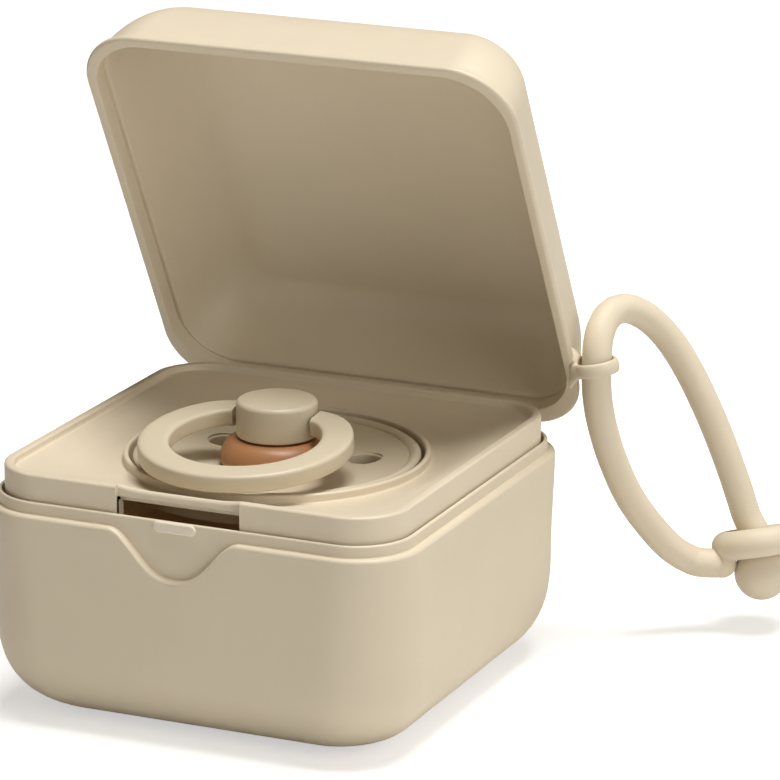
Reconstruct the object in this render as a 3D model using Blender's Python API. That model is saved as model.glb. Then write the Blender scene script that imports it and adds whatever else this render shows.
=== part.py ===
# Pacifier sterilizer case: water tub, lift-out tray, hinged lid, pacifier and carrying loop
import math

import bmesh
import bpy
from mathutils import Matrix, Vector

for item in list(bpy.data.objects):
    bpy.data.objects.remove(item, do_unlink=True)

# Clearances and cutting overrun
gap = 0.0003
seat_gap = 0.0003
overrun = 0.003
embed = 0.0006

# Water tub, its foot rounding, shoulder and band
tub_half = 0.0347
tub_corner = 0.0102
tub_foot_rise = 0.0176
tub_foot_inset_share = 0.507
tub_foot_corner = 0.0118
shoulder_z = 0.0330
shoulder_round = 0.0006
shoulder_width = 0.0012
band_height = 0.0018
band_round = 0.0003
band_wall = 0.0006
tub_floor_wall = 0.0022
tub_side_wall = 0.0032
tub_cavity_rise = 0.0150
tub_foot_side_wall = 0.0026
tray_seat_drop = 0.0070
foot_power = 2.94

# Thumb scallop under the shoulder and catch bump on the band
scallop_half = 0.0106
scallop_depth = 0.0070
scallop_power = 1.25
catch_length = 0.0070
catch_height = 0.0017
catch_reach = 0.0003
catch_drop = 0.0009
front_middle_x = -0.0007

# Lid
lid_height = 0.0170
lid_wall = 0.0014
lid_roof_wall = 0.0017
lid_corner = 0.0092
lid_roof_rise = 0.0164
lid_roof_inset = 0.0085
lid_power = 1.9
rim_reach = 0.0009
rim_height = 0.0018
rim_round = 0.0005
rim_rear_reach = 0.0010
rabbet_depth = 0.0026
lid_open_deg = 61.6

# Hinge
hinge_behind = 0.0027
hinge_below = 0.0006
barrel_radius = 0.0019
pin_radius = 0.0008
lid_knuckle_half = 0.0097
tub_knuckle_length = 0.0120
pin_end_wall = 0.0010
web_drop = 0.0045
web_setback = 0.0002

# Lug for the carrying loop on the side of the lid
lug_from_hinge = 0.0139
lug_above_rim = 0.0011
lug_wall = 0.0009
lug_height = 0.0023
lug_stand_off = 0.00025
lug_root_lift = 0.0001
lug_root_length = 0.0062
lug_tilt_deg = -28.4
lug_roll_deg = -11.0

# Lift-out tray
tray_wall = 0.0012
tray_corner = 0.0085
tray_stand = 0.0040
tray_edge_round = 0.0004
lip_width = 0.0015
lip_depth = 0.0010
dish_depth = 0.0024
plate_wall = 0.0014
collar_wall = 0.0008
collar_rise = 0.0013
well_depth = 0.0021
well_seat_width = 0.0026
well_seat_wall = 0.0012
notch_half = 0.0101
notch_roof_drop = 0.0018
notch_setback = 0.0009
notch_edge_drop = 0.0005
notch_edge_round = 0.0006
notch_rib_depth = 0.0015
notch_rib_width = 0.0010

# Pacifier shield
shield_radius = 0.0219
shield_fit = 0.0006
shield_wall = 0.0016
shield_rim_width = 0.0019
shield_rim_rise = 0.0006
shield_dish = 0.0016
shield_sag = 0.0010
vent_radius = 0.0025
vent_offset = 0.0117
vent_behind = 0.0062
neck_radius = 0.0036

# Nipple of latex: flange over the shield, neck through it, bulb below
flange_radius = 0.0087
flange_edge = 0.0012
flange_top_radius = 0.0060
flange_height = 0.0046
nipple_floor_room = 0.0034
bulb_radius = 0.0070
latex_wall = 0.0011

# Knob and ring
knob_radius = 0.0062
knob_height = 0.0056
knob_round = 0.0007
knob_crown = 0.0001
stem_radius = 0.0019
stem_length = 0.0090
pivot_rise = 0.0024
ring_pin_radius = 0.0010
ring_pin_reach = 0.0022
ring_outer_radius = 0.0162
ring_width = 0.0048
ring_thickness = 0.0029
ring_ahead = 0.0110
ring_end_width = 0.0044
ring_square_share = 0.34
ring_join_deg = 38.0
ring_tilt_deg = 5.2

# Carrying loop
strap_radius = 0.00230
strap_hole_gap = 0.00034
eyelet_section_radius = 0.00230
ball_radius = 0.0043
strap_route = [
    (0.0499, 0.0452, 0.0122),
    (0.0476, 0.0429, 0.0145),
    (0.0448, 0.0402, 0.0190),
    (0.0425, 0.0376, 0.0240),
    (0.0408, 0.0356, 0.0296),
    (0.0399, 0.0344, 0.0336),
    (0.0392, 0.0335, 0.0377),
    (0.0389, 0.0328, 0.0419),
    (0.0389, 0.0327, 0.0461),
    (0.0385, 0.0344, 0.0499),
    (0.0386, 0.0379, 0.0524),
    (0.0399, 0.0418, 0.0528),
    (0.0420, 0.0449, 0.0510),
    (0.0440, 0.0471, 0.0483),
    (0.0460, 0.0486, 0.0450),
    (0.0479, 0.0496, 0.0413),
    (0.0497, 0.0503, 0.0374),
    (0.0513, 0.0510, 0.0335),
    (0.0528, 0.0516, 0.0295),
    (0.0542, 0.0521, 0.0255),
    (0.0556, 0.0524, 0.0214),
    (0.0569, 0.0524, 0.0178),
]
eyelet_centre = (0.0589, 0.0518, 0.0142)
ball_way_shares = (0.243, -0.202, -0.9485)
neck_reach = 0.0012
neck_drop = 0.0021
neck_root_inset = 0.0014
neck_root_drop = 0.0025

# Counts
corner_steps = 6
front_steps = 26
side_steps = 6
curve_steps = 6
turn_steps = 40
small_turn_steps = 20
eye_section_steps = 10

# Derived places
hinge_y = tub_half + hinge_behind
hinge_z = shoulder_z - hinge_below
tub_foot_inset = tub_half * tub_foot_inset_share
tub_cavity_inset = tub_foot_inset - tub_foot_side_wall
band_half = tub_half - shoulder_width
band_z = shoulder_z + band_height
tray_seat_z = shoulder_z - tray_seat_drop
roof_z = shoulder_z + lid_height
rim_z = shoulder_z + seat_gap
tray_top_z = band_z + tray_stand
band_inner_half = band_half - band_wall
tray_half = band_inner_half - gap
collar_inner = shield_radius + shield_fit
collar_outer = collar_inner + collar_wall
dish_radius = collar_outer + collar_wall
lip_floor_z = tray_top_z - lip_depth
dish_z = lip_floor_z - dish_depth
collar_z = dish_z + collar_rise
well_seat_z = dish_z - well_depth
shield_foot_z = well_seat_z + seat_gap
shield_centre_z = shield_foot_z + shield_wall - shield_sag
shield_top_z = shield_centre_z + shield_dish + shield_rim_rise
flange_top_z = shield_centre_z + flange_height
knob_foot_z = flange_top_z + gap
knob_top_z = knob_foot_z + knob_height
pivot_z = knob_foot_z + pivot_rise
hole_radius = pin_radius + gap
bore_radius = ring_pin_radius + gap
nipple_bore = stem_radius + gap


def material(name, colour, roughness):
    mat = bpy.data.materials.new(name)
    mat.use_nodes = True
    shader = mat.node_tree.nodes["Principled BSDF"]
    shader.inputs["Base Color"].default_value = (*colour, 1.0)
    shader.inputs["Roughness"].default_value = roughness
    shader.inputs["Metallic"].default_value = 0.0
    return mat


shell_mat = material("shell_beige", (0.70, 0.61, 0.46), 0.45)
tray_mat = material("tray_beige", (0.68, 0.59, 0.45), 0.45)
toy_mat = material("pacifier_beige", (0.64, 0.56, 0.42), 0.40)
latex_mat = material("latex_amber", (0.45, 0.18, 0.06), 0.30)
strap_mat = material("silicone_beige", (0.70, 0.61, 0.47), 0.50)
pin_mat = material("pin_steel", (0.55, 0.55, 0.55), 0.35)
pin_mat.node_tree.nodes["Principled BSDF"].inputs["Metallic"].default_value = 1.0


def make(name, points, faces, mat, smooth_deg=35.0):
    mesh = bpy.data.meshes.new(name)
    mesh.from_pydata([tuple(p) for p in points], [], faces)
    mesh.materials.append(mat)
    mesh.validate()
    work = bmesh.new()
    work.from_mesh(mesh)
    bmesh.ops.recalc_face_normals(work, faces=work.faces)
    work.to_mesh(mesh)
    work.free()
    mesh.shade_smooth()
    mesh.set_sharp_from_angle(angle=math.radians(smooth_deg))
    obj = bpy.data.objects.new(name, mesh)
    bpy.context.scene.collection.objects.link(obj)
    return obj


def loft(rings, closed=False):
    """Points and faces of a skin over rings; capped at both ends, or joined end to start."""
    count = len(rings[0])
    points = [p for ring in rings for p in ring]
    faces = []
    spans = len(rings) if closed else len(rings) - 1
    for i in range(spans):
        a = i * count
        b = ((i + 1) % len(rings)) * count
        for j in range(count):
            k = (j + 1) % count
            faces.append((a + j, a + k, b + k, b + j))
    if not closed:
        faces.append(tuple(reversed(range(count))))
        last = (len(rings) - 1) * count
        faces.append(tuple(range(last, last + count)))
    return points, faces


def outline(half, corner, z, rear_reach=0.0):
    """Rounded square at height z, counted alike on every ring, more points along the front."""
    rear = half + rear_reach
    straight = half - corner
    points = []

    def run(start, end, steps):
        for i in range(steps):
            points.append(Vector(start).lerp(Vector(end), i / steps))

    def arc(cx, cy, start_deg):
        for i in range(corner_steps):
            a = math.radians(start_deg + 90.0 * i / corner_steps)
            points.append(Vector((cx + corner * math.cos(a), cy + corner * math.sin(a), z)))

    rear_line = rear - corner
    run((-straight, -half, z), (straight, -half, z), front_steps)
    arc(straight, -straight, -90.0)
    run((half, -straight, z), (half, rear_line, z), side_steps)
    arc(straight, rear_line, 0.0)
    run((straight, rear, z), (-straight, rear, z), side_steps)
    arc(-straight, rear_line, 90.0)
    run((-half, rear_line, z), (-half, -straight, z), side_steps)
    arc(-straight, -straight, 180.0)
    return points


def round_outline(like, radius, z):
    """Circle whose points lie in the same directions as those of a rounded square."""
    points = []
    for p in like:
        flat = Vector((p.x, p.y, 0.0)).normalized()
        points.append(Vector((flat.x * radius, flat.y * radius, z)))
    return points


def blend(first, second, share, z):
    points = []
    for p, q in zip(first, second):
        mixed = p.lerp(q, share)
        mixed.z = z
        points.append(mixed)
    return points


def super_steps(rise, inset, power, steps):
    """Height and inset shares along a super-ellipse quarter, from its wall end to its flat end."""
    out = []
    for i in range(steps + 1):
        a = 0.5 * math.pi * i / steps
        up = math.sin(a) ** (2.0 / power)
        side = max(math.cos(a), 0.0) ** (2.0 / power)
        out.append((rise * up, inset * (1.0 - side)))
    return out


def revolve(profile, steps, closed=False):
    """Turned body from (radius, height) points; a zero radius becomes one point on the axis."""
    points = []
    rows = []
    for radius, height in profile:
        if radius <= 0.0:
            rows.append([len(points)] * steps)
            points.append(Vector((0.0, 0.0, height)))
        else:
            row = []
            for i in range(steps):
                a = 2.0 * math.pi * i / steps
                row.append(len(points))
                points.append(Vector((radius * math.cos(a), radius * math.sin(a), height)))
            rows.append(row)
    faces = []
    spans = len(rows) if closed else len(rows) - 1
    for i in range(spans):
        low = rows[i]
        high = rows[(i + 1) % len(rows)]
        for j in range(steps):
            k = (j + 1) % steps
            corner_ids = []
            for index in (low[j], low[k], high[k], high[j]):
                if index not in corner_ids:
                    corner_ids.append(index)
            if len(corner_ids) > 2:
                faces.append(tuple(corner_ids))
    return points, faces


def turned(points, matrix):
    return [matrix @ p for p in points]


def rod(name, radius, start, end, mat, steps=small_turn_steps):
    """Round bar between two points."""
    start = Vector(start)
    end = Vector(end)
    along = end - start
    turn = along.to_track_quat("Z", "Y").to_matrix().to_4x4()
    points, faces = loft([
        [Vector((radius * math.cos(2.0 * math.pi * i / steps), radius * math.sin(2.0 * math.pi * i / steps), z))
         for i in range(steps)]
        for z in (0.0, along.length)
    ])
    return make(name, turned(points, Matrix.Translation(start) @ turn), faces, mat)


def prism(name, shape, x0, x1, mat):
    """Outline in Y and Z drawn out along X."""
    count = len(shape)
    points = [Vector((x0, y, z)) for y, z in shape] + [Vector((x1, y, z)) for y, z in shape]
    faces = [tuple(range(count)), tuple(reversed(range(count, 2 * count)))]
    for i in range(count):
        j = (i + 1) % count
        faces.append((i, i + count, j + count, j))
    return make(name, points, faces, mat)


def combine(target, tool, operation):
    step = target.modifiers.new(tool.name, "BOOLEAN")
    step.operation = operation
    step.solver = "EXACT"
    step.object = tool
    tool.hide_render = True
    tool.display_type = "WIRE"


# Water tub
def scallop(p):
    """Depth of the thumb scallop below the shoulder at a point of an outline."""
    beside = abs(p.x - front_middle_x)
    if p.y > 0.0 or beside >= scallop_half or abs(p.y) < tub_half - tub_corner:
        return 0.0
    share = (beside / scallop_half) ** scallop_power
    return scallop_depth * 0.5 * (1.0 + math.cos(math.pi * share))


def tub_ring(half, corner, z, base_z=None):
    """Ring of the tub's outside; above base_z its height is squeezed under the scallop's edge."""
    ring = outline(half, corner, z)
    if base_z is None:
        return ring
    for p in ring:
        depth = scallop(p)
        if depth > 0.0:
            share = (p.z - base_z) / (shoulder_z - base_z)
            near_top = shoulder_z - p.z
            if near_top <= shoulder_round * 1.01:
                p.z -= depth
            else:
                p.z = base_z + share * (shoulder_z - depth - base_z)
    return ring


def wall_corner(z):
    """Corner radius of the wall at a height between the foot and the shoulder."""
    share = (z - tub_foot_rise) / (shoulder_z - tub_foot_rise)
    return tub_foot_corner + (tub_corner - tub_foot_corner) * share ** 2 * (3.0 - 2.0 * share)


rings = []
foot = super_steps(tub_foot_rise, tub_foot_inset, foot_power, curve_steps + 2)
for rise, inset in reversed(foot):
    corner_share = inset / tub_foot_inset
    corner = tub_foot_corner - corner_share * (tub_foot_corner - 0.3 * tub_corner)
    rings.append(outline(tub_half - inset, corner, tub_foot_rise - rise))
squeeze_z = tub_foot_rise + 0.25 * (shoulder_z - tub_foot_rise)
rings.append(outline(tub_half, wall_corner(squeeze_z), squeeze_z))
for share in (0.3, 0.6, 0.85):
    z = squeeze_z + share * (shoulder_z - squeeze_z)
    rings.append(tub_ring(tub_half, wall_corner(z), z, squeeze_z))
for turn_deg in (0.0, 30.0, 60.0, 90.0):
    a = math.radians(turn_deg)
    inset = shoulder_round * (1.0 - math.cos(a))
    z = shoulder_z - shoulder_round * (1.0 - math.sin(a))
    rings.append(tub_ring(tub_half - inset, tub_corner - inset, z, squeeze_z))
band_corner = tub_corner - (tub_half - band_half)
rings.append(tub_ring(band_half, band_corner, shoulder_z, squeeze_z))
rings.append(outline(band_half, band_corner, band_z - band_round))
rings.append(outline(band_half - band_round, band_corner - band_round, band_z))
inner_corner = band_corner - band_wall
rings.append(outline(band_inner_half + 0.5 * band_round, inner_corner + 0.5 * band_round, band_z))
rings.append(outline(band_inner_half, inner_corner, band_z - band_round))
rings.append(outline(band_inner_half, inner_corner, tray_seat_z))
cavity_half = tub_half - tub_side_wall
cavity_corner = inner_corner - (band_inner_half - cavity_half)
rings.append(outline(cavity_half, cavity_corner, tray_seat_z))
cavity = super_steps(tub_cavity_rise, tub_cavity_inset, foot_power, curve_steps)
for rise, inset in cavity:
    corner = cavity_corner - 0.75 * cavity_corner * inset / tub_cavity_inset
    rings.append(outline(cavity_half - inset, corner, tub_floor_wall + tub_cavity_rise - rise))
points, faces = loft(rings)
base_tub = make("base_tub", points, faces, shell_mat)

# Catch bump on the front of the band
catch_centre_z = band_z - catch_drop
catch_straight = 0.5 * (catch_length - catch_height)
catch_rings = []
for turn_deg in (0.0, 40.0, 80.0):
    a = math.radians(turn_deg)
    swell = 0.5 * catch_height * math.cos(a)
    y = -band_half - catch_reach * math.sin(a)
    ring = []
    for side in (1.0, -1.0):
        for i in range(9):
            b = math.radians(-90.0 + 180.0 * i / 8.0)
            x = front_middle_x + side * (catch_straight + swell * math.cos(b))
            ring.append(Vector((x, y, catch_centre_z + side * swell * math.sin(b))))
    catch_rings.append(ring)
catch_rings.insert(0, [Vector((p.x, -band_half + 0.5 * band_wall, p.z)) for p in catch_rings[0]])
points, faces = loft(catch_rings)
catch = make("cut_catch_bump", points, faces, shell_mat)
combine(base_tub, catch, "UNION")

# Tub knuckles with their webs and the pin hole
tub_knuckle_x = lid_knuckle_half + gap
web_top_z = shoulder_z - 0.5 * gap
for side, tag in ((1.0, "right"), (-1.0, "left")):
    near_x = side * tub_knuckle_x
    far_x = side * (tub_knuckle_x + tub_knuckle_length)
    web = prism("cut_tub_web_" + tag, [
        (tub_half - embed, web_top_z),
        (hinge_y - 0.85 * barrel_radius, web_top_z),
        (hinge_y, hinge_z),
        (hinge_y + 0.3 * barrel_radius, hinge_z - 0.93 * barrel_radius),
        (tub_half - embed, hinge_z - barrel_radius - web_drop),
    ], near_x + side * web_setback, far_x - side * web_setback, shell_mat)
    combine(base_tub, web, "UNION")
    barrel = rod("cut_tub_barrel_" + tag, barrel_radius, (near_x, hinge_y, hinge_z), (far_x, hinge_y, hinge_z), shell_mat)
    combine(base_tub, barrel, "UNION")
pin_half = tub_knuckle_x + tub_knuckle_length - pin_end_wall
tub_hole = rod(
    "cut_tub_pin_hole", hole_radius,
    (-pin_half, hinge_y, hinge_z), (pin_half, hinge_y, hinge_z), shell_mat)
combine(base_tub, tub_hole, "DIFFERENCE")

# Hinge pin
hinge_pin = rod(
    "hinge_pin", pin_radius,
    (-(pin_half - gap), hinge_y, hinge_z), (pin_half - gap, hinge_y, hinge_z), pin_mat)

# Lid, drawn shut in its hinge's coordinates, then turned open
open_turn = -math.radians(lid_open_deg)
hinge_place = Vector((0.0, hinge_y, hinge_z))


def swing_open(obj):
    obj.location = hinge_place
    obj.rotation_euler = (open_turn, 0.0, 0.0)


def from_hinge(points):
    return [p - hinge_place for p in points]


rings = []
roof_base_z = roof_z - lid_roof_rise
for rise, inset in reversed(super_steps(lid_roof_rise, lid_roof_inset, lid_power, curve_steps + 3)):
    z = roof_base_z + rise
    if z > rim_z + rim_height + rim_round:
        rings.append(outline(tub_half - inset, lid_corner - 0.4 * inset, z))
rim_half = tub_half + rim_reach
rim_corner = lid_corner + rim_reach
rim_rings = (
    (0.10, 1.00),
    (0.45, 0.80),
    (0.85, 0.55),
    (1.00, 0.28),
)
for reach_share, height_share in rim_rings:
    reach = reach_share * rim_reach
    rear = reach_share * rim_rear_reach
    rings.append(outline(tub_half + reach, lid_corner + reach, rim_z + height_share * rim_height, rear))
rings.append(outline(rim_half - 0.3 * rim_round, rim_corner - 0.3 * rim_round, rim_z + 0.3 * rim_round, rim_rear_reach))
rings.append(outline(rim_half - rim_round, rim_corner - rim_round, rim_z, rim_rear_reach))
rabbet_half = band_half + gap + 0.5 * band_round
rabbet_corner = band_corner + (rabbet_half - band_half)
rings.append(outline(rabbet_half + 0.4 * rim_round, rabbet_corner + 0.4 * rim_round, rim_z))
rings.append(outline(rabbet_half, rabbet_corner, rim_z + 0.4 * rim_round))
rings.append(outline(rabbet_half, rabbet_corner, rim_z + rabbet_depth))
dome_half = tub_half - lid_wall
dome_corner = lid_corner - lid_wall
dome_rise = roof_z - lid_roof_wall - roof_base_z
dome_inset = lid_roof_inset - 0.5 * lid_wall
for rise, inset in super_steps(dome_rise, dome_inset, lid_power, curve_steps + 3):
    z = roof_base_z + rise
    if z >= rim_z + rabbet_depth:
        rings.append(outline(dome_half - inset, dome_corner - 0.4 * inset, z))
points, faces = loft(rings)
lid_shell = make("lid_shell", from_hinge(points), faces, shell_mat)
swing_open(lid_shell)

# Room in the lid's rear rim for the tub's knuckles
for side, tag in ((1.0, "right"), (-1.0, "left")):
    relief = rod(
        "cut_lid_relief_" + tag, barrel_radius + gap,
        (side * (lid_knuckle_half - 0.5 * embed), 0.0, 0.0),
        (side * (tub_knuckle_x + tub_knuckle_length + gap), 0.0, 0.0), shell_mat)
    swing_open(relief)
    combine(lid_shell, relief, "DIFFERENCE")

# Lid knuckle
lid_web = prism("cut_lid_web", [
    (tub_half + rim_reach - hinge_y - embed, rim_z - hinge_z + 0.3 * rim_round),
    (tub_half + rim_reach - hinge_y - embed, rim_z - hinge_z + rim_height * 0.9),
    (-0.45 * barrel_radius, 0.88 * barrel_radius),
    (0.0, 0.0),
    (-0.9 * barrel_radius, 0.3 * barrel_radius),
], -(lid_knuckle_half - web_setback), lid_knuckle_half - web_setback, shell_mat)
swing_open(lid_web)
combine(lid_shell, lid_web, "UNION")
lid_barrel = rod(
    "cut_lid_barrel", barrel_radius,
    (-lid_knuckle_half, 0.0, 0.0), (lid_knuckle_half, 0.0, 0.0), shell_mat)
swing_open(lid_barrel)
combine(lid_shell, lid_barrel, "UNION")
lid_hole = rod(
    "cut_lid_pin_hole", hole_radius,
    (-(lid_knuckle_half + overrun), 0.0, 0.0), (lid_knuckle_half + overrun, 0.0, 0.0), shell_mat)
swing_open(lid_hole)
combine(lid_shell, lid_hole, "DIFFERENCE")

# Lug on the lid's right side, an eye whose hole runs along the rim
lug_hole = strap_radius + strap_hole_gap
lug_middle = lug_hole + 0.5 * lug_wall
lug_x = rim_half + lug_stand_off + lug_middle
lug_y = -lug_from_hinge
lug_z = rim_z + lug_above_rim - hinge_z
lug_rings = []
for i in range(small_turn_steps):
    a = 2.0 * math.pi * i / small_turn_steps
    ring = []
    for j in range(eye_section_steps):
        b = 2.0 * math.pi * j / eye_section_steps
        radius = lug_middle + 0.5 * lug_wall * math.cos(b)
        along = 0.5 * lug_height * math.sin(b)
        ring.append(Vector((radius * math.cos(a), along, radius * math.sin(a))))
    lug_rings.append(ring)
points, faces = loft(lug_rings, closed=True)
lug_turn = Matrix.Rotation(math.radians(lug_tilt_deg), 4, "X") @ Matrix.Rotation(math.radians(lug_roll_deg), 4, "Z")
points = turned(points, Matrix.Translation((lug_x, lug_y, lug_z)) @ lug_turn)
lug_eye = make("cut_lug_eye", points, faces, shell_mat)
swing_open(lug_eye)
root_out = rim_half + lug_stand_off + 0.4 * lug_wall
root_in = tub_half - 0.3 * lid_wall
root_low_z = rim_z + lug_root_lift - hinge_z
root_rings = []
for x, long_share, tall_share in ((root_in, 1.0, 0.9), (tub_half + 0.5 * rim_reach, 0.85, 0.8), (root_out, 0.45, 0.55)):
    ring = []
    for j in range(eye_section_steps):
        b = 2.0 * math.pi * j / eye_section_steps
        y = lug_y + 0.5 * long_share * lug_root_length * math.cos(b)
        z = max(lug_z + tall_share * lug_hole * math.sin(b), root_low_z)
        ring.append(Vector((x, y, z)))
    root_rings.append(ring)
points, faces = loft(root_rings)
lug_root = make("cut_lug_root", points, faces, shell_mat)
swing_open(lug_root)
combine(lid_shell, lug_eye, "UNION")
combine(lid_shell, lug_root, "UNION")

# Tray with its lip, dished plate, collar, well seat and skirt
square = outline(tray_half, tray_corner, 0.0)
lip_half = tray_half - lip_width
lip_corner = tray_corner - lip_width
skirt_half = tray_half - tray_wall
skirt_corner = tray_corner - tray_wall
tray_foot_z = tray_seat_z + seat_gap
lip_square = outline(lip_half - 0.5 * tray_edge_round, lip_corner, 0.0)
dish_circle = round_outline(lip_square, dish_radius, dish_z)
skirt_square = outline(skirt_half, skirt_corner, 0.0)
seat_inner = collar_inner - well_seat_width
under_circle = round_outline(skirt_square, collar_outer, 0.0)
rings = [
    outline(tray_half, tray_corner, tray_foot_z),
    outline(tray_half, tray_corner, tray_top_z - tray_edge_round),
    outline(tray_half - 0.3 * tray_edge_round, tray_corner, tray_top_z - 0.3 * tray_edge_round),
    outline(tray_half - tray_edge_round, tray_corner, tray_top_z),
    outline(lip_half + 0.3 * tray_edge_round, lip_corner, tray_top_z),
    outline(lip_half, lip_corner, tray_top_z - 0.4 * tray_edge_round),
    outline(lip_half - 0.5 * tray_edge_round, lip_corner, lip_floor_z),
]
for share, fall_share in ((0.2, 0.10), (0.4, 0.30), (0.6, 0.56), (0.8, 0.82)):
    rings.append(blend(lip_square, dish_circle, share, lip_floor_z - fall_share * dish_depth))
rings.append(round_outline(lip_square, dish_radius, dish_z))
rings.append(round_outline(lip_square, collar_outer, dish_z))
rings.append(round_outline(lip_square, collar_outer, collar_z - 0.3 * collar_wall))
rings.append(round_outline(lip_square, collar_outer - 0.3 * collar_wall, collar_z))
rings.append(round_outline(lip_square, collar_inner + 0.3 * collar_wall, collar_z))
rings.append(round_outline(lip_square, collar_inner, collar_z - 0.3 * collar_wall))
rings.append(round_outline(lip_square, collar_inner, well_seat_z))
rings.append(round_outline(lip_square, seat_inner, well_seat_z))
rings.append(round_outline(lip_square, seat_inner, well_seat_z - well_seat_wall))
rings.append(round_outline(lip_square, collar_outer, well_seat_z - well_seat_wall))
rings.append(round_outline(lip_square, collar_outer + 0.5 * collar_wall, dish_z - plate_wall))
for share, fall_share in ((0.65, 0.65), (0.35, 0.28)):
    rings.append(blend(skirt_square, under_circle, share, lip_floor_z - fall_share * dish_depth - plate_wall))
rings.append(outline(skirt_half, skirt_corner, lip_floor_z - plate_wall))
rings.append(outline(skirt_half, skirt_corner, tray_foot_z))
points, faces = loft(rings, closed=True)
tray_insert = make("tray_insert", points, faces, tray_mat)
notch_z = tray_top_z - notch_roof_drop
edge_y = -(tray_half - notch_setback)
edge_top_z = tray_top_z - notch_edge_drop
notch_shape = [
    (-(tray_half + overrun), tray_foot_z - overrun),
    (-(skirt_half - embed), tray_foot_z - overrun),
    (-(skirt_half - embed), notch_z),
    (edge_y + 0.3 * notch_edge_round, notch_z),
    (edge_y, notch_z + 0.3 * notch_edge_round),
]
for turn_deg in (0.0, 30.0, 60.0, 90.0):
    a = math.radians(turn_deg)
    notch_shape.append((
        edge_y + notch_edge_round * (1.0 - math.cos(a)),
        edge_top_z - notch_edge_round * (1.0 - math.sin(a))))
notch_shape += [
    (-(lip_half - overrun), edge_top_z),
    (-(lip_half - overrun), tray_top_z + overrun),
    (-(tray_half + overrun), tray_top_z + overrun),
]
notch = prism("cut_tray_notch", notch_shape, front_middle_x - notch_half, front_middle_x + notch_half, tray_mat)
combine(tray_insert, notch, "DIFFERENCE")
for side, tag in ((1.0, "right"), (-1.0, "left")):
    near_x = front_middle_x + side * notch_half
    rib = prism("cut_tray_rib_" + tag, [
        (-(skirt_half + 0.5 * tray_wall), tray_foot_z + gap),
        (-(skirt_half - notch_rib_depth), tray_foot_z + gap),
        (-(skirt_half - notch_rib_depth), lip_floor_z - 0.5 * plate_wall),
        (-(skirt_half + 0.5 * tray_wall), lip_floor_z - 0.5 * plate_wall),
    ], near_x, near_x + side * notch_rib_width, tray_mat)
    combine(tray_insert, rib, "UNION")

# Pacifier shield, dished, with a raised rim and two vents
rim_inner = shield_radius - shield_rim_width


def shield_z(radius):
    return shield_centre_z + shield_dish * (radius / rim_inner) ** 2


neck_hole = neck_radius + gap
profile = [
    (neck_hole, shield_z(neck_hole)),
    (0.4 * rim_inner, shield_z(0.4 * rim_inner)),
    (0.7 * rim_inner, shield_z(0.7 * rim_inner)),
    (0.9 * rim_inner, shield_z(0.9 * rim_inner)),
    (rim_inner, shield_z(rim_inner)),
    (rim_inner + 0.25 * shield_rim_width, shield_top_z - 0.1 * shield_rim_rise),
    (rim_inner + 0.55 * shield_rim_width, shield_top_z),
    (rim_inner + 0.85 * shield_rim_width, shield_top_z - 0.3 * shield_rim_rise),
    (shield_radius, shield_top_z - 1.4 * shield_rim_rise),
    (shield_radius, shield_foot_z + 0.5 * shield_rim_width),
    (shield_radius - 0.3 * shield_rim_width, shield_foot_z + 0.1 * shield_rim_width),
    (shield_radius - 0.6 * shield_rim_width, shield_foot_z),
    (0.7 * rim_inner, shield_z(0.7 * rim_inner) - shield_wall),
    (0.4 * rim_inner, shield_z(0.4 * rim_inner) - shield_wall),
    (neck_hole, shield_z(neck_hole) - shield_wall),
]
points, faces = revolve(profile, turn_steps, closed=True)
pacifier_shield = make("pacifier_shield", points, faces, toy_mat)
for side, tag in ((1.0, "right"), (-1.0, "left")):
    vent = rod(
        "cut_vent_" + tag, vent_radius,
        (side * vent_offset, vent_behind, shield_foot_z - overrun),
        (side * vent_offset, vent_behind, shield_top_z + overrun), toy_mat)
    combine(pacifier_shield, vent, "DIFFERENCE")

# Nipple
flange_foot_z = shield_z(flange_radius) + gap
nipple_tip_z = tub_floor_wall + nipple_floor_room
bulb_z = nipple_tip_z + bulb_radius
throat_z = shield_z(neck_hole) - shield_wall
throat_radius = 0.9 * neck_radius
outer = [
    (nipple_bore, flange_top_z),
    (flange_top_radius - 0.5 * flange_edge, flange_top_z),
]
for turn_deg in (72.0, 54.0, 36.0, 18.0, 0.0):
    a = math.radians(turn_deg)
    outer.append((
        flange_top_radius + (flange_radius - flange_top_radius) * math.cos(a),
        flange_foot_z + 0.4 * flange_edge + (flange_top_z - flange_foot_z - 0.4 * flange_edge) * math.sin(a)))
outer += [
    (flange_radius - 0.3 * flange_edge, flange_foot_z + 0.1 * flange_edge),
    (flange_radius - flange_edge, flange_foot_z),
    (neck_radius, flange_foot_z),
    (neck_radius, throat_z - latex_wall),
    (throat_radius, throat_z - 3.0 * latex_wall),
]
neck_low_z = bulb_z + 1.35 * bulb_radius
outer.append((0.98 * throat_radius, neck_low_z))
bulb_out = []
for i in range(curve_steps + 3):
    a = math.radians(48.0 - 138.0 * i / (curve_steps + 2))
    bulb_out.append((bulb_radius * math.cos(a), bulb_z + bulb_radius * math.sin(a)))
bulb_out[-1] = (0.0, nipple_tip_z)
inner = [(0.0, nipple_tip_z + latex_wall)]
inner_radius = bulb_radius - latex_wall
for i in range(1, curve_steps + 3):
    a = math.radians(-90.0 + 140.0 * i / (curve_steps + 2))
    inner.append((inner_radius * math.cos(a), bulb_z + inner_radius * math.sin(a)))
inner.append((nipple_bore, neck_low_z))
points, faces = revolve(outer + bulb_out + inner, turn_steps // 2, closed=True)
pacifier_nipple = make("pacifier_nipple", points, faces, latex_mat)

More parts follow.
